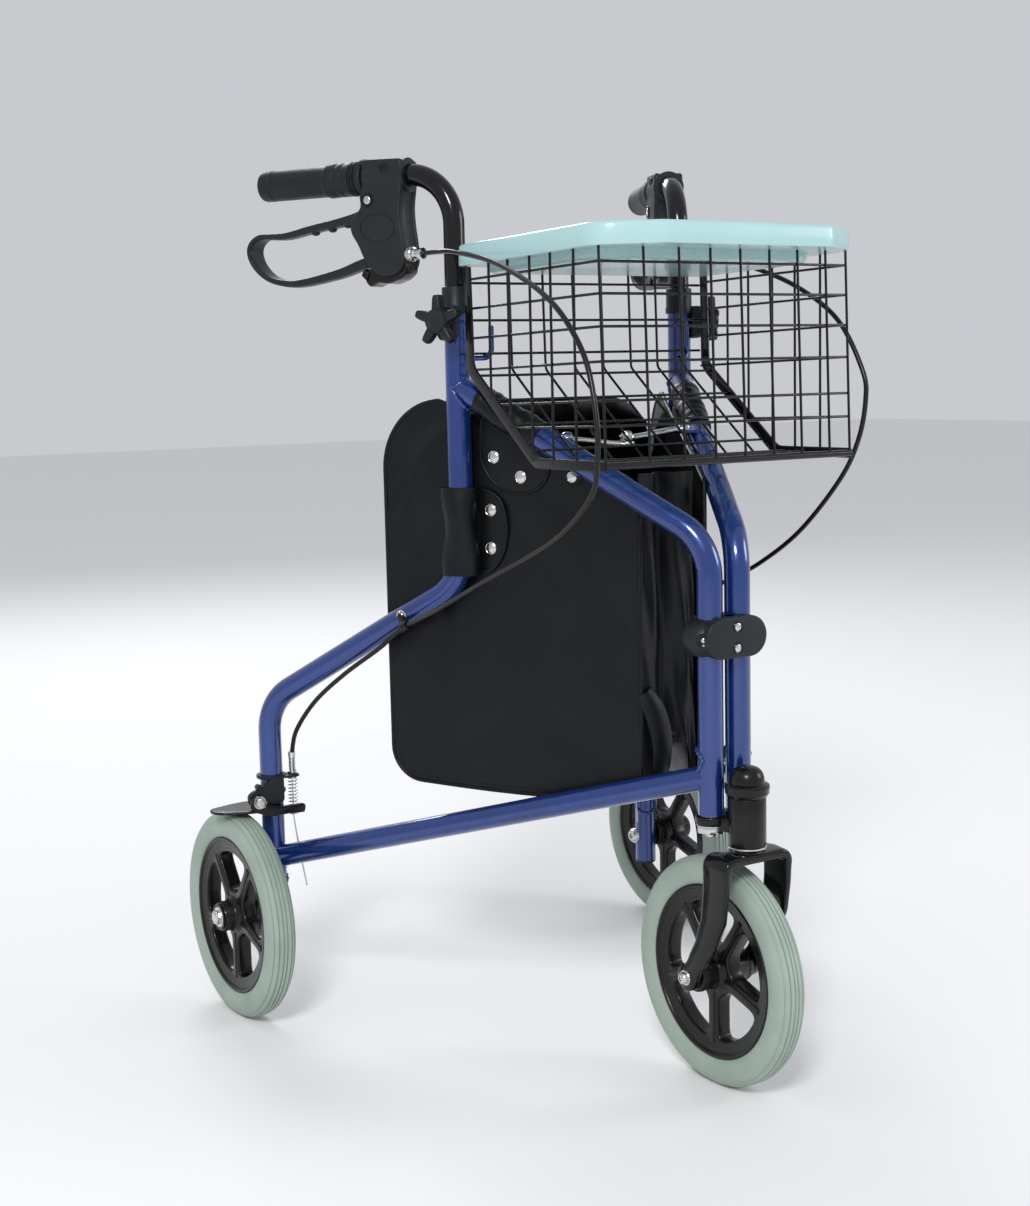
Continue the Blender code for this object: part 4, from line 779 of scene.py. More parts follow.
def caster():
    """A forged-looking fork: one ridged strap from eye to eye over a round-cornered crown."""
    leg_x, crown_z = 0.0336, 0.2098
    corners = [Vector((-leg_x, 0.0, 0.0980)), Vector((-leg_x, 0.0, crown_z)),
               Vector((leg_x, 0.0, crown_z)),
               Vector((leg_x, 0.0, 0.0980))]
    rough = arc_path(corners, [0.0080, 0.0080], 8)
    path = []
    for a, b in zip(rough, rough[1:]):
        count = max(1, int((b - a).length / 0.0035))
        path += [a.lerp(b, k / count) for k in range(count)]
    path.append(rough[-1])
    rings = []
    for i, place in enumerate(path):
        ahead = (path[min(i + 1, len(path) - 1)] - path[max(i - 1, 0)]).normalized()
        normal = Vector((-ahead.z, 0.0, ahead.x))
        centre_y, half_y = fork_reach(place.z)
        thick = 0.0034 + 0.0011 * min(1.0, max(0.0, (place.z - 0.196) / 0.012))
        ring = []
        for c, s in turns(32):
            across = soften(c, 0.42)
            out = soften(s, 0.42) * thick
            if s > 0.0:
                out += 0.0009 * math.exp(-(across / 0.42) ** 4)
            ring.append(at(place.x + normal.x * out, centre_y + across * half_y,
                           place.z + normal.z * out))
        rings.append(ring)
    parts = [ring_shell(rings)]
    eye = [(0.0, 0.0298), (0.0108, 0.0298), (0.0117, 0.0305), (0.0118, 0.0350), (0.0112, 0.0366),
           (0.0096, 0.0374), (0.0, 0.0374)]
    for side, word in SIDES:
        parts.append(lathe(eye, aim(at(0.0, FRONT_AXLE_Y, WHEEL_R), X_AXIS * side), 40))
    parts.append(lathe([(0.0125, 0.2136), (0.0160, 0.2136), (0.0156, 0.2148), (0.0125, 0.2150)],
                       Matrix.Translation(at(0.0, HEAD_Y, 0.0)), 48, True))
    piece("fork", "black_paint", "caster", parts, ["caster_fork"])
    for side, word in SIDES:
        axis = X_AXIS * side
        outer = at(side * 0.0372, FRONT_AXLE_Y, WHEEL_R)
        washer = lathe([(0.0, 0.0), (0.0066, 0.0), (0.0068, 0.0005), (0.0064, 0.0011), (0.0, 0.0011)],
                       aim(outer, axis), 32)
        bolt_end = screw_head(outer + axis * 0.0010, axis, 0.0054, 0.0044)
        spacer = disc(0.0052, 0.0, 0.0012, aim(at(side * 0.0286, FRONT_AXLE_Y, WHEEL_R), axis), 24)
        piece("fork_bolt_" + word, "zinc_steel", "caster", [washer, bolt_end, spacer],
              ["front_axle"] if side < 0 else ())


# Wheels ---------------------------------------------------------------------------

def wheel(word, centre, hub_half, body, nodes):
    """A grooved grey tyre on a stepped rim with five ribbed spokes and a long hub."""
    spin = aim(centre, X_AXIS)
    tyre = [(0.0763, 0.0104), (0.0775, 0.0118), (0.0800, 0.0129), (0.0850, 0.0139), (0.0890, 0.0139),
            (0.0925, 0.0133), (0.0953, 0.0121), (0.0966, 0.0110), (0.0958, 0.0106), (0.0962, 0.0101),
            (0.0981, 0.0095), (0.0991, 0.0082), (0.0996, 0.0070), (0.0984, 0.0066), (0.0985, 0.0060),
            (0.1001, 0.0056), (0.1003, 0.0040), (0.1003, 0.0026), (0.0989, 0.0022), (0.0989, 0.0015),
            (0.1003, 0.0011)]
    piece(word + "_grooved_tyre", "tyre_grey", body, [lathe(mirrored(tyre), spin, 120, True)], [nodes[0]])
    ring = [(0.0761, 0.0098), (0.0757, 0.0106), (0.0748, 0.0110), (0.0732, 0.0109), (0.0726, 0.0104),
            (0.0722, 0.0096), (0.0714, 0.0089), (0.0702, 0.0086), (0.0676, 0.0085), (0.0664, 0.0080),
            (0.0652, 0.0078), (0.0626, 0.0077), (0.0617, 0.0072), (0.0613, 0.0055)]
    # Each window has two straight sides beside its spokes and an arc along the rim.
    spokes, spoke_half = 5, 0.0066
    inner, outer, arc_r = 0.0235, 0.0595, 0.0612
    windows = []
    for index in range(spokes):
        middle = -90.0 + 36.0 + 72.0 * index
        corners = []
        for side, reaches in ((-1.0, (inner, outer)), (1.0, (outer, inner))):
            heading = math.radians(middle + side * 36.0)
            normal = math.radians(middle + side * 36.0 - side * 90.0)
            for distance in reaches:
                corners.append((distance * math.cos(heading) + spoke_half * math.cos(normal),
                                distance * math.sin(heading) + spoke_half * math.sin(normal)))
        arc = []
        first = math.atan2(corners[1][1], corners[1][0])
        last = math.atan2(corners[2][1], corners[2][0])
        opening = (last - first + math.pi) % (2.0 * math.pi) - math.pi
        for step in range(1, 6):
            angle = first + opening * step / 6.0
            arc.append((arc_r * math.cos(angle), arc_r * math.sin(angle)))
        outline = [corners[0], corners[1]] + arc + [corners[2], corners[3]]
        windows.append(soft_corners(outline, [0.006, 0.009] + [0.003] * 5 + [0.009, 0.006], 5))
    turn = side_plane(centre)
    web = plate([circle(0.0690, 96)] + windows, -0.0076, 0.0076, turn, 0.0026, 4)
    parts = [lathe(mirrored(ring), spin, 120, True), web]
    rib = [(0.0140, 0.0036), (0.0140, -0.0036), (0.0640, -0.0026), (0.0640, 0.0026)]
    for index in range(spokes):
        spoke = turn @ Matrix.Rotation(math.radians(-90.0 + 72.0 * index), 4, "Z")
        parts.append(plate([rib], -0.0086, 0.0086, spoke, 0.0012, 3))
    hub = [(0.0052, hub_half), (0.0118, hub_half), (0.0136, hub_half - 0.0006),
           (0.0145, hub_half - 0.0022),
           (0.0145, 0.0125), (0.0152, 0.0108), (0.0170, 0.0090), (0.0195, 0.0074)]
    parts.append(lathe(mirrored(hub), spin, 48, True))
    for across in (hub_half - 0.0052, -hub_half + 0.0052):
        parts.append(lathe([(0.0143, across - 0.0008), (0.0148, across), (0.0143, across + 0.0008)], spin,
                           48))
    piece(word + "_spoked_rim", "black_gloss_plastic", body, parts, [nodes[1]])


def rear_axle(side, word):
    """The bolt through hub and leg: washer, nut and dome outside, head and collar inside."""
    centre = at(side * REAR_HUB[0], REAR_HUB[1], WHEEL_R)
    axis = X_AXIS * side
    outer = centre + axis * 0.0224
    washer = lathe([(0.0, 0.0), (0.0098, 0.0), (0.0100, 0.0007), (0.0096, 0.0013), (0.0, 0.0013)],
                   aim(outer, axis), 36)
    nut = hexagon(outer + axis * 0.0012, axis, 0.0125, 0.0036)
    dome = lathe([(0.0058, 0.0), (0.0057, 0.0006), (0.0040, 0.0014), (0.0, 0.0017)],
                 aim(outer + axis * 0.0046, axis), 24)
    leg = in_frame(side, LEG_U, WHEEL_R)
    spacer = disc(0.0060, -0.0012, 0.0010, aim(centre - axis * 0.0226, axis), 28)
    inner = Vector((leg.x, centre.y, WHEEL_R)) - axis * (TUBE_R + 0.0004)
    bolt = screw_head(inner, -axis, 0.0072, 0.0044)
    collar = lathe([(0.0, -0.0018), (0.0084, -0.0018), (0.0086, -0.0002), (0.0082, 0.0006),
                    (0.0, 0.0006)],
                   aim(inner, -axis), 28)
    piece("axle_" + word, "zinc_steel", "frame_" + word, [washer, nut, dome, spacer, bolt, collar],
          ["rear_axle_" + word])
    ring = lathe([(0.0098, 0.0), (0.0126, 0.0), (0.0130, 0.0008), (0.0124, 0.0014), (0.0100, 0.0012)],
                 aim(outer - axis * 0.0003, axis), 40, True)
    piece("hub_seal_" + word, "black_gloss_plastic", "wheel_" + word, [ring])


# Handles, housings and levers -----------------------------------------------------

def handle(side, word):
    """The bent handle tube, its ribbed grip, and what is fixed to them."""
    along, outward = frame_axes(side)
    body = "handle_" + word
    elbow = in_frame(side, UPRIGHT_U, HANDLE_Z)
    path = arc_path([in_frame(side, UPRIGHT_U, 0.520), elbow, elbow + along * (GRIP[1] - 0.004)], [0.046],
                    20)
    piece("handle_bar_" + word, "black_paint", body, [sweep(path, HANDLE_R, 32)], ["handle_tube_" + word])

    start, end = GRIP
    profile = [(0.0, end + 0.0006), (0.0070, end + 0.0004), (0.0112, end - 0.0002),
               (0.0132, end - 0.0016),
               (0.0140, end - 0.0040), (0.0140, end - 0.0130), (0.0135, end - 0.0136),
               (0.0135, end - 0.0142),
               (0.0140, end - 0.0148), (0.0140, start + 0.0380), (0.0144, start + 0.0362),
               (0.0152, start + 0.0348), (0.0154, start + 0.0330), (0.0152, start + 0.0300),
               (0.0150, start + 0.0242), (0.0147, start + 0.0237), (0.0150, start + 0.0232),
               (0.0150, start + 0.0166), (0.0147, start + 0.0161), (0.0150, start + 0.0156),
               (0.0150, start + 0.0098)]
    for k in range(3):
        z = start + 0.0088 - 0.0026 * k
        profile += [(0.0153, z), (0.0153, z - 0.0013), (0.0143, z - 0.0016), (0.0143, z - 0.0024)]
    profile += [(0.0158, start - 0.0008), (0.0167, start - 0.0018), (0.0168, start - 0.0042),
                (0.0160, start - 0.0062), (0.0098, start - 0.0067)]
    parts = [lathe(profile, aim(elbow, along), 56)]
    for offset in (0.072, 0.087):
        place = elbow + along * (start + offset) + outward * 0.0128 + Z_AXIS * 0.0040
        parts.append(lathe([(0.0, 0.0016), (0.0007, 0.0015), (0.0013, 0.0009), (0.0015, 0.0), (0.0, 0.0)],
                           aim(place, outward * 0.96 + Z_AXIS * 0.28), 16))
    piece("hand_grip_" + word, "grip_rubber", body, parts, ["grip_" + word])
    housing(side, word)
    lever(side, word)
    adjuster(side, word)
    collar(side, word)


def housing(side, word):
    """The moulded brake body: two shells, a screw well, a pivot screw and a plain oval boss."""
    along, outward = frame_axes(side)
    elbow = in_frame(side, UPRIGHT_U, HANDLE_Z)
    outline = [(0.0440, 0.8060), (0.0870, 0.8075), (0.0870, 0.7840), (0.0905, 0.7760), (0.0890, 0.7655),
               (0.1010, 0.7560), (0.1010, 0.7440), (0.0930, 0.7330), (0.0880, 0.7210), (0.0760, 0.7060),
               (0.0580, 0.7035), (0.0440, 0.7110), (0.0440, 0.7300), (0.0470, 0.7480), (0.0480, 0.7660),
               (0.0450, 0.7820)]
    radii = [0.006, 0.004, 0.008, 0.004, 0.004, 0.005, 0.007, 0.008, 0.008, 0.009, 0.009, 0.009, 0.010,
             0.012,
             0.012, 0.012]
    rounded = soft_corners(outline, radii, 5)
    matrix = frame_matrix(side, UPRIGHT_U)
    half = 0.0140
    body = "handle_" + word
    parts = [plate([rounded], 0.0072, half, matrix, 0.0022, 4),
             plate([rounded], -half, -0.0072, matrix, 0.0022, 4)]
    spine = soft_corners([(0.0450, 0.8050), (0.0860, 0.8065), (0.0860, 0.7830), (0.0700, 0.7790),
                          (0.0600, 0.7600),
                          (0.0600, 0.7060), (0.0450, 0.7110), (0.0450, 0.7300), (0.0478, 0.7480),
                          (0.0488, 0.7660),
                          (0.0460, 0.7820)], 0.006, 4)
    parts.append(plate([spine], -0.0076, 0.0076, matrix, 0.0004, 2))
    sleeve = lathe([(0.0098, 0.0440), (0.0142, 0.0440), (0.0150, 0.0448), (0.0150, 0.0862),
                    (0.0142, 0.0870),
                    (0.0098, 0.0870)], aim(elbow, along), 48, True)
    parts.append(sleeve)
    oval = tilted_oval(0.0720, 0.7470, 0.0182, 0.0126)
    rim = tilted_oval(0.0720, 0.7470, 0.0172, 0.0116)
    for face in (half, -half - 0.0007):
        parts.append(plate([oval, rim], face - 0.0006, face + 0.0009, matrix, 0.0004, 2))
        parts.append(plate([rim], face - 0.0006, face + 0.0004, matrix, 0.0004, 2))
    piece("brake_body_" + word, "black_plastic", body, parts, ["brake_housing_" + word])
    latch = soft_corners([(0.0442, 0.7160), (0.0442, 0.7070), (0.0520, 0.7010), (0.0640, 0.6975),
                          (0.0760, 0.6990),
                          (0.0835, 0.6950), (0.0890, 0.7010), (0.0860, 0.7110), (0.0740, 0.7130),
                          (0.0590, 0.7120)],
                         0.0030, 3)
    catch = soft_corners([(0.0830, 0.7080), (0.0880, 0.7120), (0.0915, 0.7060), (0.0860, 0.7010)], 0.0012,
                         3)
    piece("parking_latch_" + word, "black_gloss_plastic", body,
          [plate([latch], -0.0104, 0.0104, matrix, 0.0020, 4),
           plate([catch], -0.0122, 0.0122, matrix, 0.0010, 3)])

    wells = []
    screws = []
    for n, axis in ((half, outward), (-half, -outward)):
        well = in_frame(side, UPRIGHT_U + 0.0620, 0.7985, n)
        wells.append(lathe([(0.0028, -0.0004), (0.0046, 0.0), (0.0052, 0.0006), (0.0046, 0.0011),
                            (0.0034, 0.0008)],
                           aim(well, axis), 28, True))
        wells.append(disc(0.0036, 0.0001, 0.0004, aim(well, axis), 24))
        pin = in_frame(side, UPRIGHT_U + 0.0810, 0.7718, n)
        wells.append(lathe([(0.0040, 0.0), (0.0056, 0.0), (0.0060, 0.0006), (0.0055, 0.0013),
                            (0.0042, 0.0010)],
                           aim(pin, axis), 28, True))
        screws.append(screw_head(pin, axis, 0.0040, 0.0016))
    piece("body_wells_" + word, "black_gloss_plastic", body, wells)
    piece("body_screws_" + word, "zinc_steel", body, screws)


def tilted_oval(centre_t, centre_z, half_t, half_z):
    """A slightly tilted oval on a brake body's face."""
    outline = []
    for c, s in turns(56):
        along_t, along_z = half_t * c, half_z * s
        outline.append((centre_t + along_t - 0.17 * along_z, centre_z + along_z + 0.12 * along_t))
    return outline


def lever(side, word):
    """The looped brake lever: a strap that widens and thins round its end."""
    # Each station: distance behind the upright, height, half the thickness and half the width.
    stations = [(0.0800, 0.7680, 0.0055, 0.0066), (0.0960, 0.7595, 0.0048, 0.0066),
                (0.1200, 0.7548, 0.0040, 0.0066),
                (0.1500, 0.7508, 0.0036, 0.0067), (0.1780, 0.7462, 0.0032, 0.0073),
                (0.1940, 0.7462, 0.0028, 0.0086),
                (0.2070, 0.7462, 0.0025, 0.0102), (0.2160, 0.7400, 0.0023, 0.0112),
                (0.2180, 0.7310, 0.0023, 0.0113),
                (0.2125, 0.7195, 0.0024, 0.0110), (0.2005, 0.7090, 0.0027, 0.0098),
                (0.1850, 0.7037, 0.0030, 0.0083),
                (0.1640, 0.7025, 0.0035, 0.0072), (0.1250, 0.7085, 0.0042, 0.0066),
                (0.0990, 0.7155, 0.0048, 0.0066),
                (0.0850, 0.7205, 0.0055, 0.0066), (0.0775, 0.7360, 0.0055, 0.0066),
                (0.0760, 0.7530, 0.0055, 0.0066)]
    count = len(stations)
    path = []
    for i in range(count):
        quad = [stations[(i + k - 1) % count] for k in range(4)]
        path += [[spline(*values, step / 8.0) for values in zip(*quad)] for step in range(8)]
    rings = []
    for i, (t, z, thick, half_n) in enumerate(path):
        before, after = path[i - 1], path[(i + 1) % len(path)]
        ahead = Vector((after[0] - before[0], after[1] - before[1])).normalized()
        ring = []
        for c, s in turns(24):
            out = soften(c, 0.5) * thick
            ring.append(in_frame(side, UPRIGHT_U + t - ahead.y * out, z + ahead.x * out,
                                 soften(s, 0.4) * half_n))
        rings.append(ring)
    parts = [ring_shell(rings, True)]
    dome = [(0.0, 0.0034), (0.0022, 0.0030), (0.0038, 0.0018), (0.0044, 0.0), (0.0, 0.0)]
    for t, z in ((0.1120, 0.7525), (0.1290, 0.7496), (0.1480, 0.7476)):
        parts.append(lathe(dome, aim(in_frame(side, UPRIGHT_U + t, z + 0.0004), -Z_AXIS), 20))
    piece("loop_lever_" + word, "black_plastic", "lever_" + word, parts, ["brake_lever_" + word])


def cable_exit(side):
    """Where the cable's adjuster leaves the brake housing, and which way it points."""
    along, outward = frame_axes(side)
    return in_frame(side, UPRIGHT_U + 0.0425, 0.7225, 0.0075), (outward * 0.25 - along).normalized()


def adjuster(side, word):
    """A threaded barrel with a knurled lock ring and a ferrule for the cable's sleeve."""
    nozzle, exit_way = cable_exit(side)
    matrix = aim(nozzle, exit_way)
    profile = [(0.0, 0.0), (0.0058, 0.0), (0.0062, 0.0005), (0.0062, 0.0058), (0.0057, 0.0064)]
    for k in range(5):
        z = 0.0066 + 0.0009 * k
        profile += [(0.0040, z), (0.0034, z + 0.0005)]
    profile += [(0.0040, 0.0112), (0.0050, 0.0115), (0.0053, 0.0122), (0.0050, 0.0182), (0.0040, 0.0185),
                (0.0, 0.0185)]
    parts = [lathe(profile, matrix, 28)]
    for x, y in circle(0.0062, 16):
        parts.append(sweep([matrix @ Vector((x, y, 0.0006)), matrix @ Vector((x, y, 0.0054))], 0.0005, 5))
    piece("cable_barrel_" + word, "zinc_steel", "handle_" + word, parts, ["cable_adjuster_" + word])


def collar(side, word):
    """The height collar's sleeve with its tongue down the outside, and the star knob."""
    outward = frame_axes(side)[1]
    base = in_frame(side, UPRIGHT_U, 0.0)
    sleeve = [(0.0098, 0.6928), (0.0112, 0.6928), (0.0120, 0.6922), (0.0122, 0.6910), (0.0122, 0.6760),
              (0.0126, 0.6750), (0.0128, 0.6740), (0.0128, 0.6700), (0.0126, 0.6692), (0.0114, 0.6690),
              (0.0112, 0.6723), (0.0098, 0.6724)]
    matrix = frame_matrix(side, UPRIGHT_U)
    tongue = soft_corners([(-0.0085, 0.6455), (0.0085, 0.6455), (0.0095, 0.6760), (-0.0095, 0.6760)],
                          [0.006, 0.006, 0.003, 0.003], 4)
    parts = [lathe(sleeve, Matrix.Translation(base), 48, True),
             plate([tongue], 0.0100, 0.0200, matrix, 0.0022, 4)]
    piece("height_collar_" + word, "black_plastic", "frame_" + word, parts, ["collar_" + word])

    outline = []
    lobes, valley, height = 5.0, 0.0104, 0.0121
    for step in range(120):
        angle = 2.0 * math.pi * step / 120.0
        wave = min(1.0, 1.22 * (0.5 + 0.5 * math.cos(lobes * angle)) ** 1.9)
        radius = valley + height * wave
        outline.append((radius * math.cos(angle), radius * math.sin(angle)))
    knob = aim(in_frame(side, UPRIGHT_U, KNOB_Z), outward, 0.5 * math.pi)
    hub = [(0.0, 0.0356), (0.0050, 0.0357), (0.0070, 0.0364), (0.0084, 0.0369), (0.0097, 0.0366),
           (0.0104, 0.0356),
           (0.0106, 0.0342), (0.0, 0.0342)]
    neck = [(0.0, 0.0270), (0.0106, 0.0270), (0.0100, 0.0250), (0.0088, 0.0230), (0.0085, 0.0207),
            (0.0, 0.0207)]
    parts = [plate([outline], 0.0248, 0.0352, knob, 0.0026, 5), lathe(hub, knob, 40),
             lathe(neck, knob, 40)]
    piece("lobed_knob_" + word, "black_plastic", "knob_" + word, parts, ["star_knob_" + word])


# Cables and brakes ----------------------------------------------------------------

# The cables' routes from the housing to the clip and on to the bracket: outward from the middle plane,
# back from the posts, and up.
RIGHT_ROUTE = [
    (0.1450, 0.1830, 0.7205), (0.1520, 0.1150, 0.7090), (0.1600, 0.0560, 0.6920),
    (0.1660, 0.0080, 0.6720), (0.1700, -0.0250, 0.6500), (0.1730, -0.0510, 0.6210),
    (0.1750, -0.0650, 0.5800), (0.1750, -0.0650, 0.5510), (0.1740, -0.0570, 0.5250),
    (0.1710, -0.0190, 0.4960), (0.1680, 0.0320, 0.4725), (0.1670, 0.1120, 0.4425),
    (0.1660, 0.1900, 0.4115), CLIP,
]
LEFT_ROUTE = [
    (0.1400, 0.1830, 0.7170), (0.1480, 0.1380, 0.7095), (0.1550, 0.0800, 0.6880),
    (0.1580, 0.0300, 0.6565), (0.1600, 0.0010, 0.6120), (0.1600, -0.0030, 0.5860),
    (0.1600, 0.0060, 0.5510), (0.1590, 0.0280, 0.5155), (0.1580, 0.0790, 0.4670),
    (0.1585, 0.1350, 0.4330), (0.1610, 0.1900, 0.4100), CLIP,
]
LOWER_ROUTE = [
    (0.1760, 0.2820, 0.3670), (0.1890, 0.3245, 0.3400), (0.2010, 0.3640, 0.3100),
    (0.2080, 0.3930, 0.2780), (0.2085, 0.4040, 0.2540),
]
SPRING_XY = (0.2085, 0.4050)


def brake_cable(side, word, route):
    """The sleeved cable from the adjuster to the ferrule."""
    nozzle, exit_way = cable_exit(side)
    start = nozzle + exit_way * 0.0188
    end = at(side * SPRING_XY[0], SPRING_XY[1], 0.2510)
    points = [start, start + exit_way * 0.018] + [at(side * x, y, z) for x, y,
                                                  z in route + LOWER_ROUTE] + [end]
    line = smooth_route(points, 190)
    cable = piece("cable_sleeve_" + word, "cable_black", None, [sweep(line, 0.0022, 14)],
                  ["brake_cable_" + word])
    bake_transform(cable)


def cable_clip(side, word):
    """A band round the cable, screwed to the sloping tube."""
    outward = frame_axes(side)[1]
    body = "frame_" + word
    screw_u = 0.3000
    screw_z = KNEE_Z + (screw_u - UPRIGHT_U) * (ANKLE_Z - KNEE_Z) / (LEG_U - UPRIGHT_U)
    face = in_frame(side, screw_u, screw_z, TUBE_R)
    clip_at = at(side * CLIP[0], CLIP[1], CLIP[2])
    tab = sweep([face - outward * 0.0010 + Z_AXIS * 0.0030, face, face + (clip_at - face) * 0.6,
                 clip_at + outward * 0.0030], 0.0030, 10, [0.0042, 0.0046, 0.0036, 0.0034])
    ring = lathe([(0.0026, -0.0045), (0.0042, -0.0045), (0.0044, -0.0038), (0.0044, 0.0038),
                  (0.0042, 0.0045),
                  (0.0026, 0.0045)], aim(clip_at, Vector((side * 0.25, 0.80, -0.45))), 24, True)
    piece("cable_clip_" + word, "black_gloss_plastic", body, [tab, ring])
    screw = screw_head(face + outward * 0.0006 + Z_AXIS * 0.0010, outward, 0.0042, 0.0026)
    washer = lathe([(0.0, -0.0006), (0.0052, -0.0006), (0.0054, 0.0002), (0.0050, 0.0008), (0.0, 0.0008)],
                   aim(face + Z_AXIS * 0.0010, outward), 28)
    piece("clip_screw_" + word, "zinc_steel", body, [screw, washer])


def brake(side, word):
    """Bracket, see-saw arm with its shoe, ferrule, spring and the bare inner wire's tail."""
    body = "frame_" + word
    leg = in_frame(side, LEG_U, 0.0)
    place = Matrix.Translation((0.0, POST_Y, 0.0)) @ Matrix.Diagonal((side, 1.0, 1.0, 1.0))
    ring = [(0.0112, 0.2310), (0.0140, 0.2310), (0.0146, 0.2316), (0.0146, 0.2340), (0.0140, 0.2346),
            (0.0112, 0.2346)]
    foot = [(0.0112, 0.2168), (0.0132, 0.2168), (0.0134, 0.2172), (0.0134, 0.2196), (0.0130, 0.2200),
            (0.0112, 0.2200)]
    parts = [lathe(profile, Matrix.Translation(leg), 40, True) for profile in (ring, foot)]
    flat = front_plane(side=side)
    ear = soft_corners([(0.2220, 0.2340), (0.2220, 0.2090), (0.2330, 0.2080), (0.2440, 0.2105),
                        (0.2500, 0.2085),
                        (0.2585, 0.2095), (0.2600, 0.2190), (0.2540, 0.2235), (0.2430, 0.2250),
                        (0.2330, 0.2340)],
                       0.004, 4)
    parts.append(plate([ear], 0.3951, 0.4006, flat, 0.0010, 3))
    stop = soft_corners([(0.2030, 0.3975), (0.2185, 0.3975), (0.2240, 0.4010), (0.2240, 0.4090),
                         (0.2185, 0.4125),
                         (0.2030, 0.4125)], [0.005, 0.002, 0.002, 0.002, 0.002, 0.005], 4)
    parts.append(plate([stop], 0.2310, 0.2335, place, 0.0007, 2))
    for x, z in ((0.2480, 0.2262), (0.2410, 0.2280)):
        parts.append(lathe([(0.0, 0.0), (0.0030, 0.0), (0.0030, 0.0062), (0.0024, 0.0070), (0.0, 0.0072)],
                           aim(at(side * x, 0.3949, z), Y_AXIS), 20))
    piece("bracket_" + word, "black_plastic", body, parts, ["brake_bracket_" + word])

    arm_body = "shoe_" + word
    arm = soft_corners([(0.2030, 0.1985), (0.2400, 0.1975), (0.2590, 0.2050), (0.2600, 0.2160),
                        (0.2540, 0.2205),
                        (0.2460, 0.2190), (0.2420, 0.2100), (0.2300, 0.2060), (0.2030, 0.2058)],
                       [0.003, 0.006, 0.005, 0.005, 0.005, 0.005, 0.006, 0.006, 0.003], 4)
    seat = soft_corners([(0.2030, 0.3890), (0.2155, 0.3890), (0.2155, 0.4130), (0.2030, 0.4130)], 0.003,
                        4)
    shoe = soft_corners([(0.2425, 0.3888), (0.2600, 0.3900), (0.2880, 0.4050), (0.2915, 0.4150),
                         (0.2880, 0.4250),
                         (0.2600, 0.4330), (0.2425, 0.4340)],
                        [0.003, 0.006, 0.006, 0.006, 0.006, 0.006, 0.004], 4)
    arm_parts = [plate([arm], 0.3885, 0.3945, flat, 0.0014, 3),
                 plate([seat], 0.1972, 0.2000, place, 0.0008, 2),
                 plate([shoe], 0.2030, 0.2058, place, 0.0010, 3)]
    piece("brake_shoe_" + word, "black_gloss_plastic", arm_body, arm_parts, ["brake_arm_" + word])

    bolt_at = at(side * 0.2520, 0.3862, 0.2135)
    tip = [(0.0, 0.0), (0.0024, 0.0), (0.0020, 0.0010), (0.0, 0.0010)]
    bolt = [hexagon(bolt_at, -Y_AXIS, 0.0092, 0.0034, 0.2),
            disc(0.0062, 0.0, 0.0009, aim(bolt_at + Y_AXIS * 0.0022, -Y_AXIS), 28),
            lathe(tip, aim(bolt_at - Y_AXIS * 0.0030, -Y_AXIS), 16)]
    piece("shoe_bolt_" + word, "zinc_steel", body, bolt, ["brake_bolt_" + word])

    x, y = SPRING_XY
    spring = []
    coils, coil_r = 9, 0.0043
    low, high = 0.2006, 0.2306
    count = coils * 18
    for step in range(count + 1):
        angle = 2.0 * math.pi * step * coils / count
        spring.append(at(side * x + coil_r * math.cos(angle), y + coil_r * math.sin(angle),
                         low + (high - low) * step / count))
    coil = piece("return_spring_" + word, "zinc_steel", body, [sweep(spring, 0.00055, 8)],
                 ["brake_spring_" + word])
    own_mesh(coil)

    profile = [(0.0, 0.2550), (0.0030, 0.2550), (0.0036, 0.2545), (0.0036, 0.2500), (0.0030, 0.2496)]
    for k in range(9):
        z = 0.2492 - 0.0015 * k
        profile += [(0.0034, z), (0.0029, z - 0.0007)]
    profile += [(0.0034, 0.2352), (0.0034, 0.2336), (0.0, 0.2336)]
    ferrule = lathe(profile, Matrix.Translation(at(side * x, y, 0.0)), 24)
    nut = hexagon(at(side * x, y, 0.2336), Z_AXIS, 0.0085, 0.0028)
    cup = hexagon(at(side * x, y, 0.1972), -Z_AXIS, 0.0070, 0.0040)
    piece("cable_ferrule_" + word, "zinc_steel", body, [ferrule, nut])
    piece("wire_nut_" + word, "zinc_steel", arm_body, [cup])
    tail = smooth_route([at(side * x, y, 0.2330), at(side * x, y, 0.1950),
                         at(side * 0.2078, 0.4035, 0.1800),
                         at(side * 0.2055, 0.3990, 0.1520), at(side * 0.2026, 0.3936, 0.1225)], 40)
    piece("inner_wire_" + word, "zinc_steel", body, [sweep(tail, 0.0007, 8)])


# Basket and tray ------------------------------------------------------------------

RIM_REAR = (0.1846, 0.7085)
RIM_FRONT = (-0.0086, 0.7128)
BASKET_HALF = 0.1313
FLOOR = 0.5380
# The floor is flat to the first distance back and then slopes up to SLOPE_TOP at the second.
SLOPE_Y = (0.0828, 0.1820)
SLOPE_TOP = 0.6191
FLOOR_FRONT = -0.0151
WIRE_R = 0.00115
CROSS_X = (-0.1302, -0.0865, -0.0508, -0.0184, 0.0132, 0.0445, 0.0754, 0.1070, 0.1302)
SIDE_Y = (0.0238, 0.0564, 0.0864, 0.1193, 0.1488)
DROPS = (0.0115, 0.0365, 0.0620, 0.0892, 0.1200, 0.1400)


def rim_height(y):
    """The height of the basket's rim at a distance back."""
    share = (y - RIM_FRONT[0]) / (RIM_REAR[0] - RIM_FRONT[0])
    return RIM_FRONT[1] + (RIM_REAR[1] - RIM_FRONT[1]) * share


def front_y(z):
    """How far forward the basket's front wall is at a height."""
    share = (z - FLOOR) / (RIM_FRONT[1] - FLOOR)
    return FLOOR_FRONT + (RIM_FRONT[0] - FLOOR_FRONT) * share


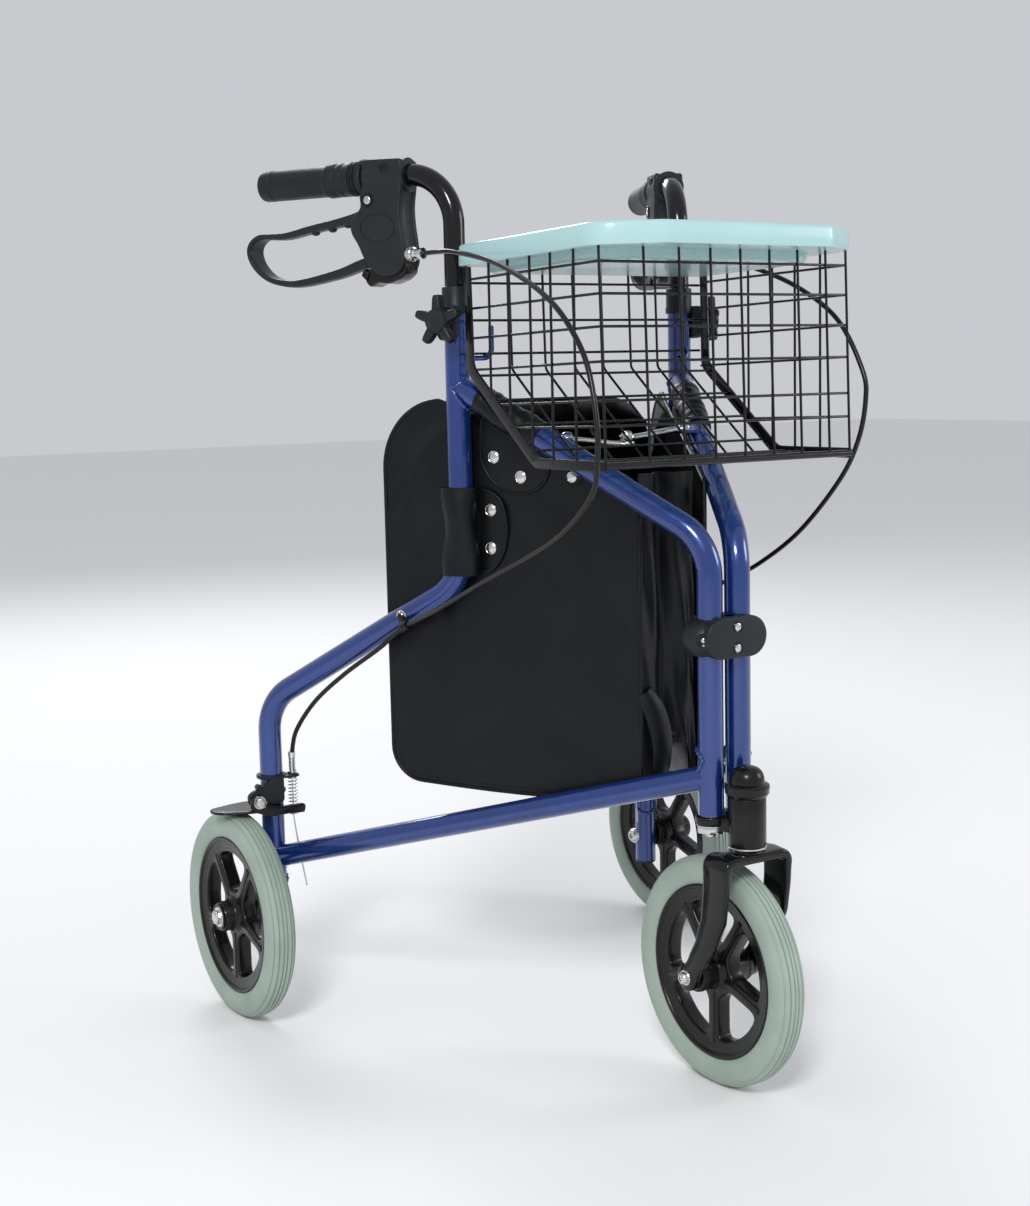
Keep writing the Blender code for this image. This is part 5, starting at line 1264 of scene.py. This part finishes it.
def slope_y(z):
    """How far back the sloping floor is at a height."""
    share = (z - FLOOR) / (SLOPE_TOP - FLOOR)
    return SLOPE_Y[0] + (SLOPE_Y[1] - SLOPE_Y[0]) * min(1.0, share)


def basket():
    """The wires that cross the basket, its upright and level side wires, the rim and the flat bands."""
    rear_y = 0.1865
    lift = 0.0050
    rim_fall = 0.0223
    bar_y = -0.0145
    wires = []
    for x in CROSS_X:
        corners = [at(x, RIM_FRONT[0], RIM_FRONT[1] + lift), at(x, bar_y, FLOOR + 0.0012),
                   at(x, SLOPE_Y[0], FLOOR + 0.0012), at(x, 0.1835, SLOPE_TOP),
                   at(x, rear_y, rim_height(0.1846) + lift)]
        wires.append(sweep(arc_path(corners, [0.004, 0.007, 0.007], 5), WIRE_R, 10))
    for side in (-1, 1):
        for y in SIDE_Y:
            rise = (y - SLOPE_Y[0]) / (SLOPE_Y[1] - SLOPE_Y[0]) * (SLOPE_TOP - FLOOR)
            bottom = FLOOR + (0.001 if y < SLOPE_Y[0] else rise)
            wires.append(sweep([at(side * BASKET_HALF, y, rim_height(y) + lift),
                                at(side * BASKET_HALF, y, bottom + 0.002)], WIRE_R, 10))
    inside = BASKET_HALF - WIRE_R
    for drop in DROPS:
        z_front = RIM_FRONT[1] - drop
        z_rear = RIM_REAR[1] - drop
        front = front_y(z_front) + WIRE_R
        rear = rear_y
        if z_rear < SLOPE_TOP:
            rear = slope_y(z_rear)
            z_rear = z_front - rim_fall * (rear - front)
        corners = [at(-inside, rear, z_rear), at(-inside, front, z_front), at(inside, front, z_front),
                   at(inside, rear, z_rear)]
        wires.append(sweep(arc_path(corners, [0.0025, 0.0025], 4), WIRE_R, 10))
    across = [(rear_y + 2.0 * WIRE_R, z) for z in (0.6945, 0.6625, 0.6336)]
    across += [(SLOPE_Y[0] + (SLOPE_Y[1] - SLOPE_Y[0]) * share,
                FLOOR + (SLOPE_TOP - FLOOR) * share + 3.0 * WIRE_R)
               for share in (0.12, 0.38, 0.64, 0.90)]
    across += [(y, FLOOR + 3.2 * WIRE_R) for y in (0.012, 0.040, 0.066)]
    for y, z in across:
        wires.append(sweep([at(-inside, y, z), at(inside, y, z)], WIRE_R, 10))
    loop = [at(-BASKET_HALF, RIM_REAR[0], RIM_REAR[1] + lift),
            at(-BASKET_HALF, RIM_FRONT[0], RIM_FRONT[1] + lift),
            at(BASKET_HALF, RIM_FRONT[0], RIM_FRONT[1] + lift),
            at(BASKET_HALF, RIM_REAR[0], RIM_REAR[1] + lift)]
    middle = (loop[0] + loop[3]) / 2.0
    rim = arc_path([middle] + loop + [middle], [0.008] * 4, 6)[:-1]
    wires.append(sweep(rim, 0.0021, 12, None, True))
    piece("basket_wires", "black_wire", "basket_body", wires, ["basket"], 50.0)

    edge = side_plane(at(0.0, 0.0, 0.0))
    outer = [(0.1876, 0.7080), (0.1866, 0.6176), (0.0841, FLOOR - 0.0010), (-0.0158, FLOOR - 0.0010),
             (-0.0150, FLOOR + 0.0078), (0.0786, FLOOR + 0.0078), (0.1758, 0.6220), (0.1786, 0.7080)]
    strip = soft_corners(outer, [0.001, 0.008, 0.008, 0.002, 0.001, 0.006, 0.006, 0.001], 4)
    bands = []
    for side in (-1, 1):
        low, high = sorted((side * (BASKET_HALF + 0.0004), side * (BASKET_HALF - 0.0010)))
        bands.append(plate([strip], low - 0.0004, high + 0.0004, edge, 0.0004, 2))
    bands.append(sweep([at(-BASKET_HALF, bar_y, FLOOR + 0.0034), at(BASKET_HALF, bar_y, FLOOR + 0.0034)],
                       0.0030, 16))
    bands.append(sweep([at(-BASKET_HALF, SLOPE_Y[0], FLOOR + 0.0010),
                        at(BASKET_HALF, SLOPE_Y[0], FLOOR + 0.0010)],
                       0.0020, 12))
    piece("basket_bands", "black_wire", "basket_body", bands)


def tray():
    """A moulded tray: a deep rounded skirt over the basket's rim, and a sunk floor."""
    tilt = math.atan2(RIM_REAR[1] - RIM_FRONT[1], RIM_REAR[0] - RIM_FRONT[0])
    rim = Matrix.Translation(at(0.0, RIM_REAR[0], RIM_REAR[1] + 0.0003)) @ Matrix.Rotation(tilt, 4, "X")
    rim = rim @ Matrix.Translation((0.0, -RIM_REAR[0], 0.0))

    def level(outline, steps):
        return [[rim @ Vector((x, y, height)) for x, y in inset(outline, shrink)] for shrink,
                height in steps]

    def mirror(half, radii):
        corners = half + [(-x, y) for x, y in reversed(half)]
        return soft_corners(corners, radii + radii[::-1], 9)

    skirt = mirror([(0.0870, -0.0400), (0.1370, -0.0130), (0.1370, 0.1950)], [0.004, 0.020, 0.012])
    well = mirror([(0.0930, 0.0020), (0.1205, 0.0260), (0.1205, 0.1740)], [0.010, 0.014, 0.011])
    # From under the sunk floor to the skirt's lower edge, up over the rim, and down to the floor's top.
    rings = level(well, [(0.0080, -0.0080), (0.0040, -0.0078), (0.0016, -0.0062), (0.0002, -0.0030),
                         (-0.0004, 0.0000)])
    rings += level(skirt, [(0.0026, 0.0000), (0.0008, 0.0002), (0.0000, 0.0014), (0.0002, 0.0090),
                           (0.0005, 0.0148), (0.0010, 0.0168), (0.0022, 0.0181), (0.0040, 0.0185),
                           (0.0080, 0.0185)])
    rings += level(well, [(-0.0040, 0.0185), (-0.0016, 0.0182), (-0.0002, 0.0170), (0.0008, 0.0148),
                          (0.0024, -0.0010), (0.0034, -0.0040), (0.0054, -0.0053), (0.0080, -0.0055)])
    piece("moulded_tray", "aqua_plastic", "tray_body", [ring_shell(rings)], ["tray"], 45.0)


# Bag ------------------------------------------------------------------------------

BAG_LOW = 0.2390
BAG_FRONT = 0.0700
BAG_REAR = 0.3280
# The vinyl's thickness, and how far inside a side frame's plane its flaps lie.
VINYL = 0.0018
FLAP_N = (-0.0112, -0.0086)
FLAP_LINE_N = -0.0089


def panel_low(u):
    """The panel's bottom edge, round at the rear corner and with a slight sag."""
    corner = 0.030
    depth = max(0.0, u - (BAG_REAR - corner)) / corner
    sag = 0.0030 * math.sin(math.pi * (u - BAG_FRONT) / (BAG_REAR - BAG_FRONT))
    return BAG_LOW + 0.0030 - sag + corner * (1.0 - math.sqrt(max(0.0, 1.0 - depth * depth)))


def panel_high(u):
    """The panel's top edge, which follows the top tube and rounds off at the rear."""
    corner = 0.062
    depth = max(0.0, u - (BAG_REAR - corner)) / corner
    line = min(0.5930, 0.5100 + 0.38 * (u - 0.050))
    return line - corner * (1.0 - math.sqrt(max(0.0, 1.0 - depth * depth)))


def crease(u, z):
    """Soft folds in a side panel, from the strap's pull and from folding."""
    value = 0.0
    for centre_u, centre_z, heading, width, length, depth in (
            (0.290, 0.540, 2.3, 0.007, 0.045, 0.0030), (0.303, 0.505, 2.0, 0.006, 0.040, 0.0026),
            (0.276, 0.558, 2.6, 0.006, 0.034, 0.0024), (0.262, 0.548, 2.2, 0.005, 0.026, 0.0018),
            (0.288, 0.470, 1.8, 0.007, 0.036, 0.0018), (0.150, 0.300, 0.5, 0.022, 0.080, 0.0018),
            (0.270, 0.420, 1.5, 0.008, 0.060, 0.0020), (0.110, 0.440, 1.2, 0.014, 0.090, 0.0016),
            (0.180, 0.470, 0.9, 0.010, 0.050, 0.0014), (0.140, 0.380, 1.9, 0.012, 0.070, 0.0013),
            (0.230, 0.290, 2.6, 0.014, 0.060, 0.0013)):
        du = u - centre_u
        dz = z - centre_z
        lengthwise = du * math.cos(heading) + dz * math.sin(heading)
        across = -du * math.sin(heading) + dz * math.cos(heading)
        value += depth * math.exp(-(across / width) ** 2 - (lengthwise / length) ** 2)
    value += 0.0004 * math.sin(38.0 * u + 11.0 * z) + 0.0003 * math.sin(27.0 * z - 19.0 * u)
    return value


def bag_panel(side, word):
    """A side panel with its creases, bound edge, stitches and straps."""
    body = "frame_" + word
    rows = []
    columns = 64
    for i in range(columns + 1):
        share = math.sin(0.5 * math.pi * i / columns)
        u = BAG_FRONT + (BAG_REAR - BAG_FRONT) * share
        low, high = panel_low(u), panel_high(u)
        row = []
        for k in range(61):
            z = low + (high - low) * k / 60.0
            row.append(in_frame(side, u, z, -0.0116 - crease(u, z)))
        rows.append(row)
    outward = frame_axes(side)[1]
    piece("bag_side_" + word, "black_vinyl", body, [sheet_grid(rows, [-outward * VINYL] * len(rows))],
          ["bag_panel_" + word], 60.0)

    edge = [(BAG_FRONT, panel_high(BAG_FRONT)), (BAG_FRONT, panel_low(BAG_FRONT) + 0.006)]
    us = [BAG_FRONT + (BAG_REAR - BAG_FRONT) * math.sin(0.5 * math.pi * i / 70.0) for i in range(71)]
    edge += [(u, panel_low(u)) for u in us[3:]]
    edge += [(u, panel_high(u)) for u in reversed(us)]
    binding = [in_frame(side, u, z, -0.0124 - 0.9 * crease(u, z)) for u, z in thin_out(edge, 0.0030)]
    piece("bag_binding_" + word, "black_vinyl", body, [sweep(binding, 0.0021, 10, None, True)], (), 60.0)
    inner = [Vector((u, z)) for u, z in thin_out(edge, 0.0045)]
    stitches = []
    centre = Vector((0.20, 0.41))
    for a, b in zip(inner, inner[1:]):
        tangent = (b - a).normalized()
        left = Vector((-tangent.y, tangent.x)) * 0.0050
        if (centre - a).dot(left) < 0.0:
            left = -left
        first = a + left
        last = a + left + tangent * 0.0028
        stitches.append(sweep([in_frame(side, p.x, p.y, -0.0114 - crease(p.x, p.y)) for p in (first,
                                                                                              last)],
                              0.00032, 5))
    piece("bag_stitches_" + word, "cable_black", body, stitches)
    straps(side, word)


def thin_out(points, gap):
    """Points along a line, about a gap apart."""
    kept = [points[0]]
    for point in points[1:]:
        if (Vector(point) - Vector(kept[-1])).length >= gap:
            kept.append(point)
    return kept


def snap(side, u, z, n, radius=0.0058):
    """A nickel snap: a domed cap with a rolled rim."""
    outward = frame_axes(side)[1]
    profile = [(0.0, 0.0020), (radius * 0.45, 0.0019), (radius * 0.70, 0.0015), (radius * 0.80, 0.0011),
               (radius * 0.86, 0.0013), (radius * 0.96, 0.0010), (radius, 0.0004), (radius, -0.0002),
               (0.0, -0.0002)]
    return lathe(profile, aim(in_frame(side, u, z, n), outward), 32)


def flap(side, corners, radius):
    """A flap on a side panel, with a raised line just inside its edge."""
    outline = soft_corners(corners, radius, 6)
    line = [in_frame(side, u, z, FLAP_LINE_N) for u, z in inset_line(outline, 0.0022)]
    return [plate([outline], *FLAP_N, frame_matrix(side), 0.0009, 3), sweep(line, 0.0009, 6, None, True)]


def straps(side, word):
    """The vinyl sleeves round the upright and the top tube, with snapped flaps."""
    body = "frame_" + word
    along, outward = frame_axes(side)
    rows = []
    for i in range(23):
        z = 0.4370 + 0.0790 * i / 22.0
        waist = 1.0 + 0.03 * math.sin(3.0 * math.pi * i / 22.0) + 0.012 * math.sin(2.6 * i)
        row = []
        for k, (c, s) in enumerate(turns(40)):
            radius = (0.0140 + 0.0010 * math.sin(4.0 * math.pi * k / 40.0 + 0.3 * i)) * waist
            reach = radius * c * (1.34 if c > 0.0 else 1.12)
            row.append(in_frame(side, UPRIGHT_U + reach, z, radius * s * 0.95))
        rows.append(row)
    parts = [closed_sleeve(rows)]
    parts += flap(side, [(0.2300, 0.5155), (0.2130, 0.5135), (0.2010, 0.5020), (0.1965, 0.4780),
                         (0.2020, 0.4540), (0.2150, 0.4390), (0.2300, 0.4370)], 0.012)

    slope = math.atan(TOP_RISE)
    way = along * math.cos(slope) + Z_AXIS * math.sin(slope)
    lift = -along * math.sin(slope) + Z_AXIS * math.cos(slope)
    centre = in_frame(side, 0.1875, top_tube_z(0.1875))
    rings = []
    for i in range(23):
        offset = -0.0340 + 0.0680 * i / 22.0
        row = []
        for k, (c, s) in enumerate(turns(28)):
            ripple = 0.0006 * math.sin(6.0 * math.pi * k / 28.0 + 0.5 * i)
            radius = 0.0134 + ripple + 0.0004 * math.sin(1.9 * i)
            row.append(centre + way * offset + lift * (radius * c) + outward * (radius * s))
        rings.append(row)
    parts.append(ring_shell(rings))
    parts += flap(side, [(0.2240, 0.5850), (0.2270, 0.5400), (0.2130, 0.5170), (0.1880, 0.5070),
                         (0.1620, 0.5140), (0.1530, 0.5320), (0.1560, 0.5550)], 0.014)
    tab = soft_corners([(0.1430, 0.5440), (0.1430, 0.5240), (0.1320, 0.5170), (0.1210, 0.5240),
                        (0.1210, 0.5380)],
                       0.007, 5)
    parts.append(plate([tab], FLAP_N[0], -0.0090, frame_matrix(side), 0.0008, 3))
    piece("bag_straps_" + word, "black_vinyl", body, parts, (), 60.0)
    snaps = [snap(side, 0.2142, 0.4953, -0.0085), snap(side, 0.2148, 0.4612, -0.0085),
             snap(side, 0.2099, 0.5425, -0.0085), snap(side, 0.1828, 0.5250, -0.0085),
             snap(side, 0.1321, 0.5255, -0.0089, 0.0050)]
    piece("bag_snaps_" + word, "zinc_steel", body, snaps)


def closed_sleeve(rows):
    """A padded sleeve whose ends are drawn in, from rows of points round a tube."""
    ends = []
    for row in (rows[0], rows[-1]):
        centre = sum(row, Vector((0.0, 0.0, 0.0))) / len(row)
        ends.append([centre + (p - centre) * 0.88 for p in row])
    return ring_shell([ends[0]] + rows + [ends[1]])


def inset_line(outline, amount):
    """A line inside an outline, at a distance from it."""
    loop = [(p[0], p[1]) for p in outline]
    if area(loop) < 0.0:
        loop.reverse()
    return inset(loop, amount)


def half_width(y):
    """Half the bag's width between its side panels, at a distance back from the posts."""
    u = y / math.cos(SPREAD)
    return POST_X + u * math.sin(SPREAD) - 0.0146 / math.cos(SPREAD)


def shoulder(w, width):
    """How far the rear wall's top drops toward its side edges, to meet the round side panels."""
    reach = 0.064
    inboard = (1.0 - abs(w)) * width
    depth = max(0.0, 1.0 - inboard / reach)
    return 0.058 * (1.0 - math.sqrt(max(0.0, 1.0 - depth ** 2.4)))


def rear_fold(w, share):
    """How far the rear wall bulges back, with soft vertical folds."""
    bulge = 1.0 - w * w
    swell = math.sin(math.pi * min(1.0, share)) * bulge
    return (0.0070 * swell + 0.0028 * math.sin(8.0 * w + 5.0 * share) * swell
            + 0.0022 * math.sin(15.0 * (w + 0.4 * share)) * bulge * share ** 3)


def bag_core():
    """One sewn strip: down the pleated front, along the sagging bottom and up the rear wall."""
    front = BAG_FRONT * math.cos(SPREAD) + 0.0085
    rear = BAG_REAR * math.cos(SPREAD) + 0.0020
    top_front, top_rear, low = 0.5280, 0.5900, BAG_LOW + 0.0035
    bend = 0.016
    spine = [(front, top_front + (low + bend - top_front) * i / 25.0, "front") for i in range(26)]
    quarter = [0.5 * math.pi * i / 7.0 for i in range(1, 7)]
    spine += [(front + bend * (1.0 - math.cos(a)), low + bend * (1.0 - math.sin(a)),
               "bend") for a in quarter]
    spine += [(front + bend + (rear - front - 2.0 * bend) * i / 20.0, low, "bottom") for i in range(21)]
    spine += [(rear - bend + bend * math.sin(a), low + bend * (1.0 - math.cos(a)),
               "bend") for a in quarter]
    spine += [(rear, low + bend + (top_rear - low - bend) * i / 30.0, "rear") for i in range(31)]
    rows = []
    offsets = []
    columns = 64
    for y, z, part in spine:
        row = []
        for k in range(columns + 1):
            w = -1.0 + 2.0 * k / columns
            x = w * half_width(y)
            move_y = 0.0
            move_z = 0.0
            if part == "front":
                share = (z - low) / (top_front - low)
                pleat = math.exp(-((w + 0.15) / 0.22) ** 2) * (0.006 + 0.010 * share)
                move_y = pleat - 0.0035 * math.exp(-((w - 0.45) / 0.20) ** 2) * math.sin(3.0 * share + 0.6)
                move_y += 0.0012 * math.sin(9.0 * w + 14.0 * share)
                x -= 0.0105 * max(0.0, w) ** 2
            elif part == "bottom":
                move_z = 0.0016 * math.sin(7.0 * w + 30.0 * y) * (1.0 - w * w)
            elif part == "rear":
                share = (z - low) / (top_rear - low)
                move_y = rear_fold(w, share)
                move_z = -shoulder(w, half_width(rear)) * share ** 2
            # The foot of the front is pulled up between the panels.
            if part != "rear":
                tuck = math.exp(-((y - front) / 0.085) ** 2 - ((z - low) / 0.050) ** 2)
                move_z += 0.042 * tuck * math.exp(-((w - 0.10) / 0.48) ** 4)
            row.append(at(x, y + move_y, z + move_z))
        rows.append(row)
        inward = {"front": (0.0, VINYL, 0.0), "rear": (0.0, -VINYL, 0.0), "bottom": (0.0, 0.0, VINYL)}
        corner = 0.0013
        offsets.append(inward.get(part, (0.0, corner if y < 0.5 * (front + rear) else -corner, corner)))
    core = piece("bag_shell", "black_vinyl", None, [sheet_grid(rows, offsets)], ["bag_core"], 60.0)
    hem_rows = []
    hem_offsets = []
    for i in range(9):
        z = top_rear - 0.0240 + 0.0255 * i / 8.0
        share = 1.0 - (top_rear - z) / (top_rear - low)
        puff = 0.0016 * math.sin(math.pi * i / 8.0)
        row = []
        for k in range(columns + 1):
            w = -1.0 + 2.0 * k / columns
            row.append(at(w * half_width(rear) * 0.995, rear + rear_fold(w, share) - 0.0030 - puff,
                          z - shoulder(w, half_width(rear)) * min(1.0, share) ** 2))
        hem_rows.append(row)
        hem_offsets.append(Vector((0.0, 0.0060 + 0.0030 * math.sin(math.pi * i / 8.0), 0.0)))
    hem = piece("bag_hem", "black_vinyl", None, [sheet_grid(hem_rows, hem_offsets)], (), 60.0)
    for obj in (core, hem, strap_end(front)):
        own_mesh(obj)
        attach(obj, "head")


def strap_end(front):
    """The loose strap end that curls down the bag's front."""
    line = [(-0.0330, -0.0040, 0.3400), (-0.0290, -0.0070, 0.3310), (-0.0240, -0.0095, 0.3170),
            (-0.0205, -0.0110, 0.3000), (-0.0195, -0.0105, 0.2830), (-0.0200, -0.0085, 0.2660),
            (-0.0210, -0.0060, 0.2540)]
    spine = smooth_route([Vector(p) for p in line], 26)
    rows = []
    offsets = []
    for i, place in enumerate(spine):
        ahead = spine[min(i + 1, len(spine) - 1)] - spine[max(i - 1, 0)]
        across = Vector((ahead.z, 0.0, -ahead.x)).normalized()
        if across.x > 0.0:
            across = -across
        width = 0.0055 + 0.0055 * math.sin(math.pi * min(1.0, (i + 4) / 30.0))
        row = []
        for k in range(13):
            w = -1.0 + 2.0 * k / 12.0
            bow = -0.0030 * (1.0 - w * w)
            point = place + across * (w * width)
            row.append(at(point.x, front + point.y + bow, point.z))
        rows.append(row)
        offsets.append(Vector((0.0, VINYL, 0.0)))
    return piece("bag_strap_end", "black_vinyl", None, [sheet_grid(rows, offsets)], (), 60.0)


# Studio ---------------------------------------------------------------------------

def camera():
    """The photograph's viewing angle, slightly above the basket's height."""
    heading, pitch, roll = math.radians(-33.147), math.radians(-7.2546), math.radians(-1.2614)
    back = Vector((math.sin(heading) * math.cos(-pitch), -math.cos(heading) * math.cos(-pitch),
                   math.sin(-pitch)))
    right = (-back).cross(Z_AXIS).normalized()
    up = right.cross(-back).normalized()
    right, up = (right * math.cos(roll) + up * math.sin(roll),
                 up * math.cos(roll) - right * math.sin(roll))
    place = Vector((-0.96927, -1.37769, 0.61619))
    data = bpy.data.cameras.new("view")
    data.lens = 53.94
    data.sensor_width = 36.0
    obj = add_object("view", data)
    obj.matrix_world = Matrix(((right.x, up.x, back.x, place.x), (right.y, up.y, back.y, place.y),
                               (right.z, up.z, back.z, place.z), (0.0, 0.0, 0.0, 1.0)))
    bpy.context.scene.camera = obj


def area_light(name, place, size, power):
    """A round light aimed at the middle of the walker."""
    target = Vector((0.0, 0.0, 0.4))
    data = bpy.data.lights.new(name, "AREA")
    data.shape = "DISK"
    data.size = size
    data.energy = power
    add_object(name, data).matrix_world = aim(Vector(place), Vector(place) - target)


def studio():
    """A white paper floor, a pale world and three soft lights."""
    mesh = bpy.data.meshes.new("studio_floor")
    reach = 14.0
    mesh.from_pydata([(-reach, -reach, 0.0), (reach, -reach, 0.0), (reach, reach, 0.0),
                      (-reach, reach, 0.0)], [],
                     [(0, 1, 2, 3)])
    floor = add_object("studio_floor", mesh)
    paper = bpy.data.materials.new("studio_paper")
    paper.use_nodes = True
    shader = paper.node_tree.nodes["Principled BSDF"]
    shader.inputs["Base Color"].default_value = (0.88, 0.88, 0.88, 1.0)
    shader.inputs["Roughness"].default_value = 0.9
    shader.inputs["Specular IOR Level"].default_value = 0.1
    mesh.materials.append(paper)
    world = bpy.data.worlds.new("studio")
    world.use_nodes = True
    world.node_tree.nodes["Background"].inputs["Color"].default_value = (0.93, 0.95, 1.0, 1.0)
    world.node_tree.nodes["Background"].inputs["Strength"].default_value = 0.62
    bpy.context.scene.world = world
    area_light("key", (-2.2, -2.4, 2.6), 0.9, 76.0)
    area_light("fill", (2.6, -1.8, 1.4), 1.2, 22.0)
    area_light("back", (0.6, 2.8, 2.4), 1.4, 38.0)
    bpy.context.scene.view_settings.view_transform = "Standard"


camera()
studio()
brake_cable(-1, "right", RIGHT_ROUTE)
brake_cable(1, "left", LEFT_ROUTE)
head()
caster()
wheel("front", at(0.0, FRONT_AXLE_Y, WHEEL_R), 0.0285, "front_wheel", ["front_tyre", "front_rim"])
for SIDE, WORD in SIDES:
    side_frame(SIDE, WORD)
    brace_link(SIDE, WORD)
    wheel("rear_" + WORD, at(SIDE * REAR_HUB[0], REAR_HUB[1], WHEEL_R), 0.0222, "wheel_" + WORD,
          ["rear_%s_tyre" % WORD, "rear_%s_rim" % WORD])
    rear_axle(SIDE, WORD)
    handle(SIDE, WORD)
    cable_clip(SIDE, WORD)
    brake(SIDE, WORD)
    bag_panel(SIDE, WORD)
basket()
tray()
bag_core()
